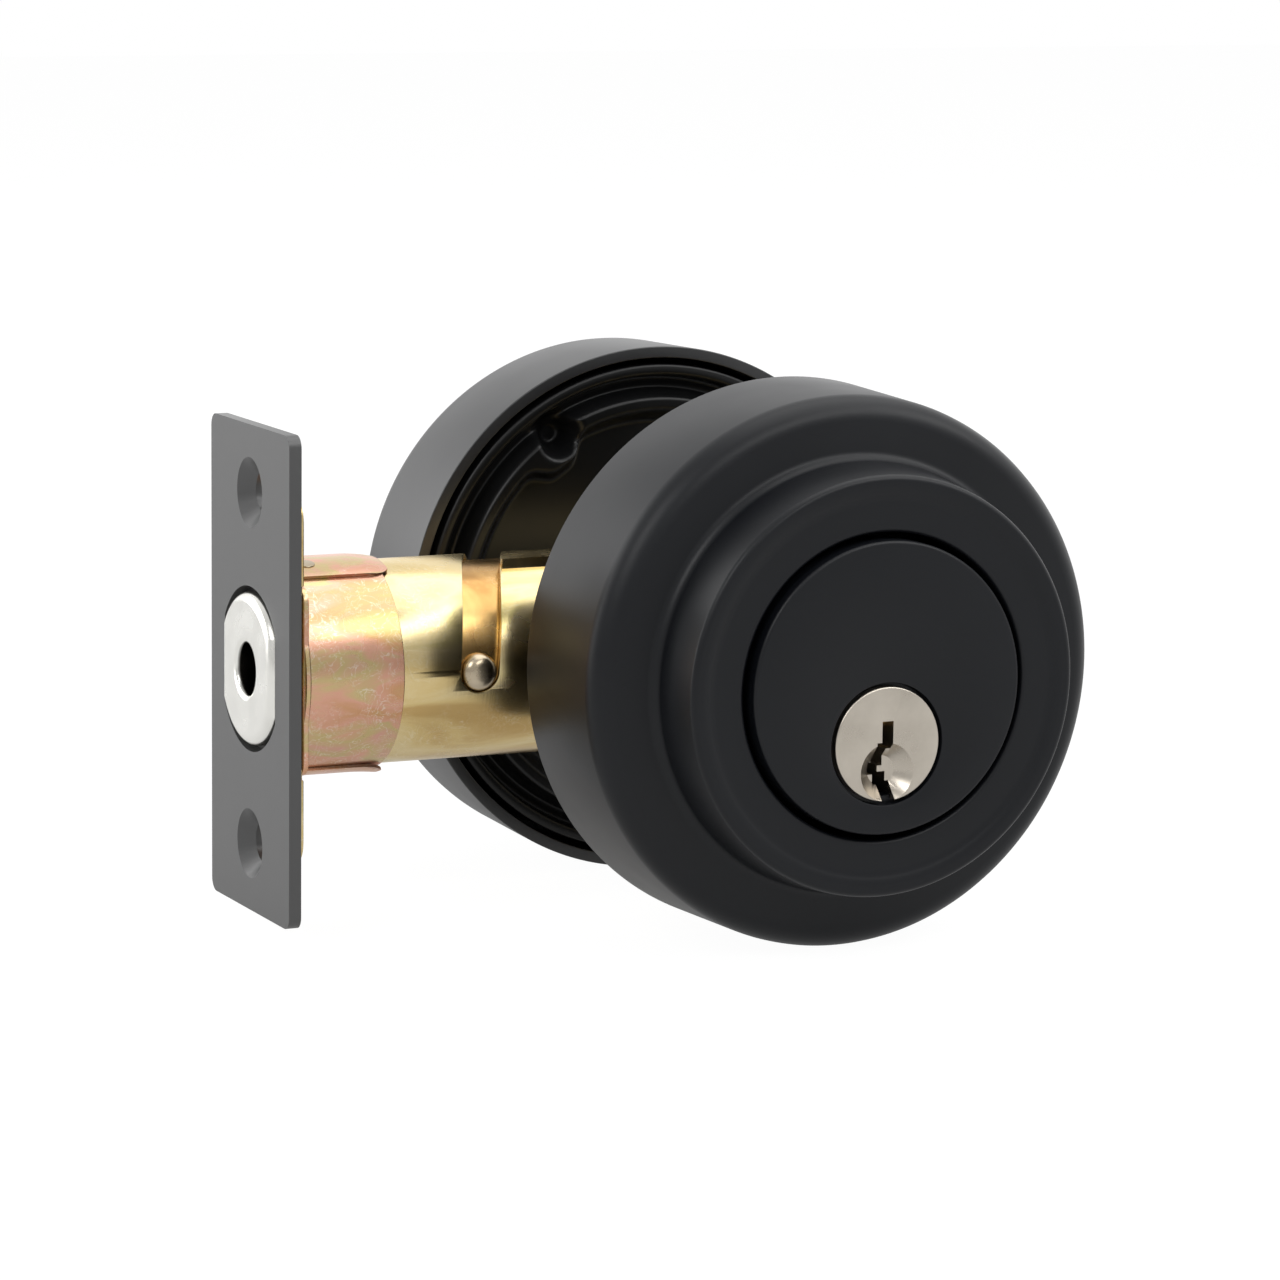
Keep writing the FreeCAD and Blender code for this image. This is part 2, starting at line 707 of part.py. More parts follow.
def make_interior_rose():
    top = rose_radius - rose_taper
    shell = turned([
        (rose_radius, 0, 0), (top, shoulder_depth, shoulder_round),
        (ring_base_radius, ring_base_depth, 0.9), (ring_lip_radius, inner_ring_depth, 1.0),
        (0, inner_ring_depth, 0), (0, inner_ring_depth - rose_wall, 0),
        (ring_lip_radius - rose_wall, inner_ring_depth - rose_wall, 0),
        (ring_base_radius - rose_wall, ring_base_depth - rose_wall, 0),
        (top - rose_wall, shoulder_depth - rose_wall, 1.2),
        (rose_radius - rose_wall, 0, 0)], 1, rose_rise)
    shell = shell.cut(rod_y(turn_shaft_radius + running_gap, half_door, half_door + inner_ring_depth + 1,
                            0, plug_z))
    return shell.cut(rod_z(set_screw_radius, rose_rise - rose_radius - 1, rose_rise, 0,
                           half_door + set_screw_depth))


def make_rose_set_screw():
    low = rose_rise - rose_radius + 0.4
    high = rose_rise - plate_radius - running_gap
    screw = rod_z(set_screw_radius, low, high, 0, half_door + set_screw_depth)
    socket = rod_z(0.8, low - 1, low + 0.9, 0, half_door + set_screw_depth)
    return screw.cut(socket)


def make_thumbturn():
    face = inner_ring_depth + 0.2
    base = turned([(0, face, 0), (turn_base_radius, face, 0),
                   (turn_base_radius, face + turn_base_thick, 1.0), (0, face + turn_base_thick, 0)], 1, plug_z)
    low = half_door + face + 0.5
    high = half_door + face + turn_height
    side = sheet_x([(low, plug_z - turn_neck / 2, 0), (high - 8, plug_z - turn_length / 2, 4.0),
                    (high, plug_z - turn_length / 2 + 1.5, 3.0), (high, plug_z + turn_length / 2 - 1.5, 3.0),
                    (high - 8, plug_z + turn_length / 2, 4.0), (low, plug_z + turn_neck / 2, 0)],
                   -turn_thick / 2, turn_thick / 2)
    plan = outline([(-turn_thick / 2, low, 0), (-turn_thick / 2 + 1.2, high, 1.6),
                    (turn_thick / 2 - 1.2, high, 1.6), (turn_thick / 2, low, 0)])
    plan.translate(vec(0, 0, plug_z - turn_length))
    wedge = plan.extrude(vec(0, 0, 2 * turn_length))
    shaft_end = half_door + turn_shaft_end
    shaft = rod_y(turn_shaft_radius, shaft_end, half_door + face + 0.1, 0, plug_z)
    body = base.fuse(side.common(wedge)).fuse(shaft)
    slot_end = half_door + inner_ring_depth - 1
    body = body.cut(block(-hub_hole_width / 2, hub_hole_width / 2, shaft_end - 1, slot_end,
                          plug_z - hub_hole_length / 2, plug_z + hub_hole_length / 2))
    groove_start = half_door + clip_depth
    groove = rod_y(turn_shaft_radius + 1, groove_start, groove_start + clip_thick + 0.1, 0, plug_z)
    groove = groove.cut(rod_y(turn_shaft_radius - clip_groove, groove_start - 1, groove_start + 3, 0, plug_z))
    return body.cut(groove).removeSplitter()


def make_thumbturn_clip():
    start = half_door + clip_depth + running_gap
    ring = rod_y(clip_radius, start, start + clip_thick, 0, plug_z)
    bore = rod_y(turn_shaft_radius - clip_groove + running_gap, start - 1, start + 3, 0, plug_z)
    mouth = block(-turn_shaft_radius * 0.6, turn_shaft_radius * 0.6, start - 1, start + 3,
                  plug_z, plug_z + clip_radius + 1)
    return ring.cut(bore).cut(mouth)


def make_spring_washer():
    start = clip_depth + clip_thick + 2 * running_gap
    end = inner_ring_depth - rose_wall - running_gap
    thick = 0.45
    inner = turn_shaft_radius + seat_gap
    return turned([(inner, start, 0), (clip_radius, end - thick, 0), (clip_radius, end, 0),
                   (inner, start + thick, 0)], 1, plug_z)


def make_through_bolts():
    seat = half_door + plate_set_back + plate_thick
    bolts = []
    for x in through_places():
        head = turned([(0, plate_set_back + plate_thick, 0),
                       (through_head_radius, plate_set_back + plate_thick, 0),
                       (through_head_radius, plate_set_back + plate_thick + through_head_thick, 1.2),
                       (0, plate_set_back + plate_thick + through_head_thick, 0)], 1, plug_z, x)
        bolt = head.fuse(rod_y(through_radius, -through_tip, seat + 0.1, x, plug_z))
        deep = seat + through_head_thick - 1.4
        out = seat + through_head_thick + 1
        for half_x, half_z in ((2.2, 0.5), (0.5, 2.2)):
            bolt = bolt.cut(block(x - half_x, x + half_x, deep, out, plug_z - half_z, plug_z + half_z))
        bolts.append(bolt)
    return Part.makeCompound(bolts)


pieces = {
    "exterior_rose": make_exterior_rose,
    "rose_support_ring": make_rose_support_ring,
    "cylinder_housing": make_cylinder_housing,
    "pin_cover_strip": make_pin_cover_strip,
    "cylinder_plug": make_cylinder_plug,
    "plug_retainer": make_plug_retainer,
    "bottom_pins": make_bottom_pins,
    "driver_pins": make_driver_pins,
    "pin_springs": make_pin_springs,
    "tailpiece": make_tailpiece,
    "tailpiece_pin": make_tailpiece_pin,
    "faceplate": make_faceplate,
    "backing_plate": make_backing_plate,
    "latch_collar": make_latch_collar,
    "latch_front_sleeve": make_latch_front_sleeve,
    "latch_rear_tube": make_latch_rear_tube,
    "slot_stud": make_slot_stud,
    "bolt_guide": make_bolt_guide,
    "bolt": make_bolt,
    "saw_guard_pin": make_saw_guard_pin,
    "bolt_tail": make_bolt_tail,
    "tail_rivets": make_tail_rivets,
    "crank": make_crank,
    "crank_pin": make_crank_pin,
    "interior_mounting_plate": make_interior_mounting_plate,
    "interior_rose": make_interior_rose,
    "rose_set_screw": make_rose_set_screw,
    "thumbturn": make_thumbturn,
    "thumbturn_clip": make_thumbturn_clip,
    "spring_washer": make_spring_washer,
    "through_bolts": make_through_bolts,
}

os.makedirs("parts", exist_ok=True)
for name, make in pieces.items():
    shape = make()
    shape.exportStep("parts/" + name + ".step")
    print(name, len(shape.Solids), "solids", round(shape.Volume, 1), "mm3", "valid" if shape.isValid() else "NOT VALID")
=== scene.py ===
import bpy
import bmesh
import json
import math
from mathutils import Matrix, Vector


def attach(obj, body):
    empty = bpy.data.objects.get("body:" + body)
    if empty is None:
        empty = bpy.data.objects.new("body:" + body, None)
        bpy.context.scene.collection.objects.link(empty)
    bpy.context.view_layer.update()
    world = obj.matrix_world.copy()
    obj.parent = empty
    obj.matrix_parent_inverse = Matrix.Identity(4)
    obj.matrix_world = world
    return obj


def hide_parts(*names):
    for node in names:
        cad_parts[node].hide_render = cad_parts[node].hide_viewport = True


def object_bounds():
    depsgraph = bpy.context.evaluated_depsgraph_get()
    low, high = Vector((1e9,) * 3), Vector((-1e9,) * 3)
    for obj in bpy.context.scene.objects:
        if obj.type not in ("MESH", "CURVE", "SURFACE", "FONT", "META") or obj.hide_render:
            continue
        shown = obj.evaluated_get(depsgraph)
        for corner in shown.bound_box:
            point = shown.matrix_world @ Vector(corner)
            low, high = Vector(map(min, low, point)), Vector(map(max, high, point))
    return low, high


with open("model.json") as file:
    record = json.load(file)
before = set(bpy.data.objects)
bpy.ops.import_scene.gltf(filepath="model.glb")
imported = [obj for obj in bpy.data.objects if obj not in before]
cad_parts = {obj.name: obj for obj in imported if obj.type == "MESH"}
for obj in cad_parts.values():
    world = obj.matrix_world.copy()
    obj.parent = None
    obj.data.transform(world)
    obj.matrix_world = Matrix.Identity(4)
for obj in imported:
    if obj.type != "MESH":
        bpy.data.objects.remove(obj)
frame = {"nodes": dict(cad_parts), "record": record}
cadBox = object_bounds()

# A deadbolt for a 35 mm door. Pieces are shaped in millimetres and made metres at the end.
# X runs along the bolt, -Y is the keyed side, Z is up, and the roses share an axis along Y.
lock = {"halfDoor": 17.5, "roseZ": 1.2, "plugZ": -5.2, "plateX": -60.0, "metre": 0.001}


# materials

def newMaterial(name, colour, roughness, metallic=0.0, specular=0.5):
    material = bpy.data.materials.new(name)
    material.use_nodes = True
    shader = material.node_tree.nodes["Principled BSDF"]
    shader.inputs["Base Color"].default_value = (*colour, 1)
    shader.inputs["Roughness"].default_value = roughness
    shader.inputs["Metallic"].default_value = metallic
    shader.inputs["Specular IOR Level"].default_value = specular
    return material, material.node_tree, shader


def objectPoint(tree, stretch=(1, 1, 1)):
    place = tree.nodes.new("ShaderNodeTexCoord")
    mapping = tree.nodes.new("ShaderNodeMapping")
    mapping.inputs["Scale"].default_value = stretch
    tree.links.new(place.outputs["Object"], mapping.inputs["Vector"])
    return mapping.outputs["Vector"]


def addNoise(tree, point, scale, detail=3.0, distortion=0.0):
    noise = tree.nodes.new("ShaderNodeTexNoise")
    noise.inputs["Scale"].default_value = scale
    noise.inputs["Detail"].default_value = detail
    noise.inputs["Distortion"].default_value = distortion
    tree.links.new(point, noise.inputs["Vector"])
    return noise.outputs["Fac"]


def addRamp(tree, value, stops):
    ramp = tree.nodes.new("ShaderNodeValToRGB")
    marks = ramp.color_ramp.elements
    while len(marks) < len(stops):
        marks.new(0.5)
    for mark, (position, colour) in zip(marks, stops):
        mark.position = position
        mark.color = (*colour, 1)
    tree.links.new(value, ramp.inputs["Fac"])
    return ramp.outputs["Color"]


def addRange(tree, value, low, high, fromLow=0.3, fromHigh=0.7):
    span = tree.nodes.new("ShaderNodeMapRange")
    span.inputs["From Min"].default_value = fromLow
    span.inputs["From Max"].default_value = fromHigh
    span.inputs["To Min"].default_value = low
    span.inputs["To Max"].default_value = high
    tree.links.new(value, span.inputs["Value"])
    return span.outputs["Result"]


def mixColours(tree, factor, first, second):
    mix = tree.nodes.new("ShaderNodeMix")
    mix.data_type = "RGBA"
    tree.links.new(factor, mix.inputs["Factor"])
    for colour, socket in ((first, mix.inputs["A"]), (second, mix.inputs["B"])):
        if isinstance(colour, tuple):
            socket.default_value = (*colour, 1)
        else:
            tree.links.new(colour, socket)
    return mix.outputs["Result"]


def addBump(tree, shader, height, strength, distance):
    bump = tree.nodes.new("ShaderNodeBump")
    bump.inputs["Strength"].default_value = strength
    bump.inputs["Distance"].default_value = distance
    tree.links.new(height, bump.inputs["Height"])
    tree.links.new(bump.outputs["Normal"], shader.inputs["Normal"])


satinBlack = {
    "rose": {"dark": (0.0042, 0.0051, 0.0072), "light": (0.0058, 0.0068, 0.0092),
             "roughness": (0.34, 0.42), "specular": 0.30},
    # painted sheen: this copy of the black enamel for the faceplate has a far lighter base than the rose, standing in
    # for the light its face reflects
    "plate": {"dark": (0.0520, 0.0523, 0.0526), "light": (0.0600, 0.0603, 0.0606),
              "roughness": (0.36, 0.44), "specular": 0.95},
    # painted sheen: this copy of the black enamel for the inside rose has a lighter base than the outside rose,
    # standing in for the light on its wall
    "inside": {"dark": (0.0105, 0.0112, 0.0128), "light": (0.0140, 0.0147, 0.0165),
               "roughness": (0.34, 0.42), "specular": 0.80},
    "pressed": {"dark": (0.0036, 0.0038, 0.0042), "light": (0.0056, 0.0058, 0.0062),
                "roughness": (0.30, 0.38), "specular": 0.30},
}
enamel = {"grain": 2600, "cloud": 55, "bump": 0.12, "bumpDistance": 0.00003}


def makeSatinBlack(name):
    finish = satinBlack[name]
    material, tree, shader = newMaterial(name + "BlackEnamel", finish["dark"], 0.4, 0.0, finish["specular"])
    point = objectPoint(tree)
    cloud = addNoise(tree, point, enamel["cloud"])
    tint = mixColours(tree, addRange(tree, cloud, 0, 1), finish["dark"], finish["light"])
    tree.links.new(tint, shader.inputs["Base Color"])
    tree.links.new(addRange(tree, cloud, *finish["roughness"]), shader.inputs["Roughness"])
    addBump(tree, shader, addNoise(tree, point, enamel["grain"], 2), enamel["bump"], enamel["bumpDistance"])
    return material


nickel = {
    "plug": ((0.50, 0.455, 0.39), (0.60, 0.55, 0.475), 0.30),
    "bolt": ((0.82, 0.81, 0.765), (0.88, 0.87, 0.825), 0.22),
    "stud": ((0.36, 0.29, 0.19), (0.56, 0.48, 0.36), 0.24),
}
# the bore radii and the dark bore colour paint shade inside the bolt's drilled hole
plating = {"brush": 900, "cloud": 260, "bump": 0.10, "bumpDistance": 0.00002, "bore": (0.00308, 0.00318),
           "paintedBoreShade": (0.035, 0.032, 0.028)}


def makeNickel(name, stretch):
    low, high, roughness = nickel[name]
    material, tree, shader = newMaterial(name + "Nickel", low, roughness, 1.0)
    brushed = addNoise(tree, objectPoint(tree, stretch), plating["brush"], 4)
    cloud = addNoise(tree, objectPoint(tree), plating["cloud"], 4)
    platingAndBoreShade = mixColours(tree, addRange(tree, cloud, 0, 1), low, high)
    if name == "bolt":
        # painted shade: the drilled bore is coloured dark, standing in for the shade inside the hole
        across = tree.nodes.new("ShaderNodeVectorMath")
        across.operation = "LENGTH"
        tree.links.new(objectPoint(tree, (0, 1, 1)), across.inputs[0])
        isOutside = addRange(tree, across.outputs["Value"], 0, 1, *plating["bore"])
        platingAndBoreShade = mixColours(tree, isOutside, plating["paintedBoreShade"], platingAndBoreShade)
    tree.links.new(platingAndBoreShade, shader.inputs["Base Color"])
    tree.links.new(addRange(tree, cloud, roughness - 0.04, roughness + 0.08), shader.inputs["Roughness"])
    addBump(tree, shader, brushed, plating["bump"], plating["bumpDistance"])
    return material


chromate = {
    "gold": {"stops": [(0.30, (0.54, 0.37, 0.15)), (0.44, (0.68, 0.52, 0.24)),
                       (0.56, (0.74, 0.60, 0.33)), (0.70, (0.54, 0.45, 0.18))],
             "pale": (0.86, 0.80, 0.64), "marks": 0.35, "roughness": (0.20, 0.30),
             "stretch": (0.5, 1.6, 1.6), "cloud": 90},
    "pink": {"stops": [(0.30, (0.52, 0.40, 0.16)), (0.42, (0.62, 0.34, 0.18)),
                       (0.52, (0.70, 0.38, 0.27)), (0.60, (0.58, 0.46, 0.22)),
                       (0.72, (0.68, 0.36, 0.30))],
             "pale": (0.86, 0.80, 0.68), "marks": 0.6, "roughness": (0.22, 0.34),
             "stretch": (0.7, 1.5, 1.5), "cloud": 110},
    "amber": {"stops": [(0.30, (0.44, 0.24, 0.08)), (0.46, (0.60, 0.36, 0.13)),
                        (0.58, (0.66, 0.42, 0.16)), (0.72, (0.50, 0.28, 0.09))],
              "pale": (0.74, 0.58, 0.36), "marks": 0.3, "roughness": (0.20, 0.32),
              "stretch": (1, 1, 1), "cloud": 120},
}
scratch = {"scale": 460, "width": 0.020, "patchScale": 150,
           "grooves": (6.0, 0.10, 0.10), "grooveScale": 700,
           "grooveBump": 0.16}


def addProduct(tree, first, second):
    product = tree.nodes.new("ShaderNodeMath")
    product.operation = "MULTIPLY"
    for value, socket in ((first, product.inputs[0]), (second, product.inputs[1])):
        if isinstance(value, float):
            socket.default_value = value
        else:
            tree.links.new(value, socket)
    return product.outputs["Value"]


def makeChromate(name):
    # a thin coloured film on zinc, with fine pale scratches and faint grooves round the tube
    finish = chromate[name]
    material, tree, shader = newMaterial(name + "Chromate", finish["stops"][1][1], 0.3, 1.0)
    point = objectPoint(tree)
    cloud = addNoise(tree, objectPoint(tree, finish["stretch"]), finish["cloud"], 4, 0.8)
    film = addRamp(tree, cloud, finish["stops"])
    half = scratch["width"]
    hair = addRamp(tree, addNoise(tree, point, scratch["scale"], 4, 2.2),
                   [(0.5 - half, (0, 0, 0)), (0.5, (1, 1, 1)), (0.5 + half, (0, 0, 0))])
    patch = addNoise(tree, point, scratch["patchScale"], 3)
    marks = addProduct(tree, addProduct(tree, hair, addRange(tree, patch, 0, 1, 0.42, 0.56)), finish["marks"])
    tree.links.new(mixColours(tree, marks, film, finish["pale"]), shader.inputs["Base Color"])
    tree.links.new(addRange(tree, patch, *finish["roughness"]), shader.inputs["Roughness"])
    grooves = addNoise(tree, objectPoint(tree, scratch["grooves"]), scratch["grooveScale"], 3)
    addBump(tree, shader, grooves, scratch["grooveBump"], 0.00003)
    return material


hidden = {
    "zincPlate": ((0.55, 0.56, 0.58), 0.28, 1.0, 700), "castZinc": ((0.42, 0.42, 0.42), 0.48, 1.0, 1300),
    "brassTurned": ((0.62, 0.44, 0.20), 0.26, 1.0, 900), "darkSteel": ((0.10, 0.10, 0.105), 0.34, 1.0, 900),
    "springSteel": ((0.36, 0.36, 0.38), 0.30, 1.0, 900), "blackNylon": ((0.012, 0.012, 0.012), 0.5, 0.0, 1500),
    "darkZinc": ((0.055, 0.055, 0.058), 0.42, 1.0, 1300),
}


def makeHidden(name):
    colour, roughness, metallic, grain = hidden[name]
    material, tree, shader = newMaterial(name, colour, roughness, metallic)
    noise = addNoise(tree, objectPoint(tree), grain, 3)
    tree.links.new(addRange(tree, noise, roughness - 0.06, roughness + 0.08), shader.inputs["Roughness"])
    addBump(tree, shader, noise, 0.12, 0.00002)
    return material


finishes = {"black_enamel": makeSatinBlack("rose"), "satin_nickel": makeNickel("plug", (1, 0.12, 1)),
            "nickel_bolt": makeNickel("bolt", (1, 0.3, 1)), "nickel_stud": makeNickel("stud", (1, 1, 1)),
            "gold_zinc": makeChromate("gold"), "pink_zinc": makeChromate("pink"),
            "zinc_plate": makeHidden("zincPlate"), "cast_zinc": makeHidden("castZinc"),
            "brass": makeHidden("brassTurned"), "steel": makeHidden("darkSteel"),
            "spring_steel": makeHidden("springSteel"), "nylon": makeHidden("blackNylon")}
nodeSlot = {part["node"]: part["material_slot"] for part in frame["record"]["subparts"]}
for node, carried in frame["nodes"].items():
    carried.data.materials.clear()
    carried.data.materials.append(finishes[nodeSlot[node]])
print("materials ready")


# shaping helpers

def depthY(side, depth):
    return side * (lock["halfDoor"] + depth)


def roundCorners(bm, points, corners, segments):
    for point, corner in zip(points, corners):
        if corner[2]:
            bmesh.ops.bevel(bm, geom=[point], offset=corner[2], offset_type="OFFSET", segments=segments,
                            profile=0.5, affect="VERTICES", material=-1)


def profileLine(corners, place, isClosed, segments=8):
    # a line through the corners, each rounded by its third number
    bm = bmesh.new()
    points = [bm.verts.new(place(corner[0], corner[1])) for corner in corners]
    pairs = list(zip(points, points[1:]))
    if isClosed:
        pairs.append((points[-1], points[0]))
    for pair in pairs:
        bm.edges.new(pair)
    roundCorners(bm, points, corners, segments)
    return bm


def spinAll(bm, axis, steps):
    bmesh.ops.spin(bm, geom=bm.verts[:] + bm.edges[:], cent=(0, 0, 0), axis=axis, angle=math.tau,
                   steps=steps, use_merge=True)
    bmesh.ops.remove_doubles(bm, verts=bm.verts, dist=0.0004)


def turnOnY(corners, side, z=0.0, x=0.0, steps=192):
    isClosed = corners[0][0] > 0 or corners[-1][0] > 0
    bm = profileLine(corners, lambda radius, depth: (radius, depthY(side, depth), 0), isClosed)
    spinAll(bm, (0, 1, 0), steps)
    bmesh.ops.translate(bm, vec=(x, 0, z), verts=bm.verts)
    return bm


def turnOnX(corners, steps=160):
    isClosed = corners[0][1] > 0 or corners[-1][1] > 0
    bm = profileLine(corners, lambda x, radius: (x, -radius, 0), isClosed)
    spinAll(bm, (1, 0, 0), steps)
    return bm


def inMetres(name, bm):
    bmesh.ops.remove_doubles(bm, verts=bm.verts, dist=0.0004)
    bmesh.ops.recalc_face_normals(bm, faces=bm.faces)
    bmesh.ops.scale(bm, vec=(lock["metre"],) * 3, verts=bm.verts)
    mesh = bpy.data.meshes.new(name)
    bm.to_mesh(mesh)
    bm.free()
    made = bpy.data.objects.new(name, mesh)
    bpy.context.collection.objects.link(made)
    return made


def toPiece(name, bm, slotName, body, nodes=(), smooth=32):
    piece = inMetres(name, bm)
    piece.data.materials.append(finishes[slotName])
    shadeByAngle(piece.data, smooth)
    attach(piece, body)
    if nodes:
        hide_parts(*nodes)
    return piece


def shadeByAngle(mesh, angle, flatX=False):
    mesh.set_sharp_from_angle(angle=math.radians(angle))
    for face in mesh.polygons:
        face.use_smooth = len(face.vertices) < 12 and not (flatX and abs(face.normal.x) > 0.9999)


def cutterFrom(bm):
    return inMetres("cutter", bm)


def carve(piece, cutters, edge=0.0, segments=2, smooth=32, joins=(), flatX=False):
    # adds the joins, takes the cutters out, softens the edges and leaves no modifier behind
    for operation, tools in (("UNION", joins), ("DIFFERENCE", cutters)):
        for tool in tools:
            bite = piece.modifiers.new("bite", "BOOLEAN")
            bite.operation = operation
            bite.solver = "EXACT"
            bite.object = tool
    if edge:
        soft = piece.modifiers.new("edge", "BEVEL")
        soft.width = edge * lock["metre"]
        soft.segments = segments
        soft.limit_method = "ANGLE"
        soft.angle_limit = math.radians(40)
        soft.use_clamp_overlap = True
    bpy.context.view_layer.update()
    cut = bpy.data.meshes.new_from_object(piece.evaluated_get(bpy.context.evaluated_depsgraph_get()))
    old = piece.data
    piece.modifiers.clear()
    piece.data = cut
    cut.name = piece.name
    bpy.data.meshes.remove(old)
    for tool in (*joins, *cutters):
        bpy.data.meshes.remove(tool.data)
    shadeByAngle(cut, smooth, flatX)


def rodOnY(radius, y0, y1, x=0.0, z=0.0, segments=96):
    bm = bmesh.new()
    turn = Matrix.Translation((x, (y0 + y1) / 2, z)) @ Matrix.Rotation(math.pi / 2, 4, "X")
    bmesh.ops.create_cone(bm, cap_ends=True, segments=segments, radius1=radius, radius2=radius,
                          depth=y1 - y0, matrix=turn)
    return bm


def rodOnX(radius1, radius2, x0, x1, y=0.0, z=0.0, segments=96):
    bm = bmesh.new()
    turn = Matrix.Translation(((x0 + x1) / 2, y, z)) @ Matrix.Rotation(math.pi / 2, 4, "Y")
    bmesh.ops.create_cone(bm, cap_ends=True, segments=segments, radius1=radius1, radius2=radius2,
                          depth=x1 - x0, matrix=turn)
    return bm


def slab(x0, x1, y0, y1, z0, z1):
    bm = bmesh.new()
    middle = Matrix.Translation(((x0 + x1) / 2, (y0 + y1) / 2, (z0 + z1) / 2))
    bmesh.ops.create_cube(bm, size=1, matrix=middle @ Matrix.Diagonal((x1 - x0, y1 - y0, z1 - z0, 1)))
    return bm


# outside rose

rose = {"rim": 32.6, "top": 32.1, "wall": 1.4, "shoulder": 17.9, "ringBase": (25.0, 18.9), "ringLip": (24.2, 26.9),
        "ringFace": 26.45, "mouth": 17.7, "lipDepth": 3.4}


def makeExteriorRose():
    wall = rose["wall"]
    baseRadius, baseDepth = rose["ringBase"]
    lipRadius, lipDepth = rose["ringLip"]
    back = rose["ringFace"] - wall
    bm = turnOnY([
        (rose["rim"], 0, 0.15), (rose["top"], rose["shoulder"], 2.7), (baseRadius, baseDepth, 1.1),
        (lipRadius, lipDepth, 0.7), (lipRadius - 1.7, lipDepth - 0.05, 0.5), (lipRadius - 2.6, rose["ringFace"], 0.5),
        (rose["mouth"], rose["ringFace"] + 0.1, 0.55), (rose["mouth"], lipDepth - rose["lipDepth"], 0),
        (rose["mouth"] + wall, lipDepth - rose["lipDepth"], 0), (rose["mouth"] + wall, back, 0),
        (lipRadius - wall, back, 0), (baseRadius - wall, baseDepth - wall, 0),
        (rose["top"] - wall, rose["shoulder"] - wall, 1.2), (rose["rim"] - wall, 0, 0.15)],
        -1, lock["roseZ"], steps=256)
    return toPiece("exteriorRose", bm, "black_enamel", "lock_case", ["exterior_rose"])


makeExteriorRose()

# cylinder: housing and plug

cylinder = {"face": 27.5, "radius": 16.9, "edge": 0.45, "drum": 16.0, "faceThick": 3.5, "flange": 22.4,
            "flangeThick": 2.7,
            "back": 0.3, "mouth": 7.0, "bore": 6.2, "mouthDeep": 1.3, "softMouth": 0.3,
            "postX": 17.0, "postRadius": 3.6, "postTip": 6.0}


def ringLoop(bm, radius, depth, side, z, segments=160):
    turn = Matrix.Translation((0, depthY(side, depth), z)) @ Matrix.Rotation(math.pi / 2, 4, "X")
    made = bmesh.ops.create_circle(bm, cap_ends=False, segments=segments, radius=radius, matrix=turn)
    return list({edge for vert in made["verts"] for edge in vert.link_edges})


def bridgeRings(rings, side):
    # each ring is (radius, depth, z): neighbours are bridged, the last one to the first
    bm = bmesh.new()
    loops = [ringLoop(bm, radius, depth, side, z) for radius, depth, z in rings]
    for first, second in zip(loops, loops[1:] + loops[:1]):
        bmesh.ops.bridge_loops(bm, edges=first + second)
    return bm


def makeHousing():
    roseZ, plugZ = lock["roseZ"], lock["plugZ"]
    face, edge = cylinder["face"], cylinder["edge"]
    soft = cylinder["softMouth"]
    rounded = [(cylinder["radius"] - edge + edge * math.cos(math.radians(angle)),
                face - edge + edge * math.sin(math.radians(angle)), roseZ) for angle in (0, 22, 45, 67, 90)]
    step = face - cylinder["faceThick"]
    flange = cylinder["back"] + cylinder["flangeThick"]
    rings = [(cylinder["flange"], cylinder["back"], roseZ), (cylinder["flange"], flange, roseZ),
             (cylinder["drum"], flange, roseZ), (cylinder["drum"], step, roseZ), (cylinder["radius"], step, roseZ)]
    rings += rounded
    rings += [(cylinder["mouth"] + soft, face, plugZ), (cylinder["mouth"] + soft * 0.3, face - soft * 0.3, plugZ),
              (cylinder["mouth"], face - soft, plugZ), (cylinder["mouth"], face - cylinder["mouthDeep"], plugZ),
              (cylinder["bore"], face - cylinder["mouthDeep"], plugZ), (cylinder["bore"], cylinder["back"], plugZ)]
    bm = bridgeRings(rings, -1)
    for x in (-cylinder["postX"], cylinder["postX"]):
        turn = Matrix.Translation((x, -(lock["halfDoor"] + cylinder["postTip"]) / 2, plugZ))
        turn = turn @ Matrix.Rotation(math.pi / 2, 4, "X")
        post = cylinder["postRadius"]
        bmesh.ops.create_cone(bm, cap_ends=True, segments=48, radius1=post, radius2=post,
                              depth=lock["halfDoor"] - cylinder["postTip"] + 0.6, matrix=turn)
    return toPiece("cylinderHousing", bm, "black_enamel", "lock_case", ["cylinder_housing"])


makeHousing()

plug = {"face": 27.6, "head": 6.6, "edge": 0.22, "headDeep": 1.2, "body": 6.15, "back": 0.25,
        "stub": 4.6, "stubEnd": -2.85,
        "wards": [(-0.70, 0.70, -0.6, 2.65), (-1.30, 0.15, -2.7, 0.2), (-1.75, -0.45, -3.7, -2.3),
                  (-1.05, 0.55, -4.9, -3.4),
                  (-0.55, 1.05, -8.0, -4.5)],
        "keyEnd": 2.75, "guideRadius": 3.4, "guideDrop": 3.25, "guideDeep": 1.7}


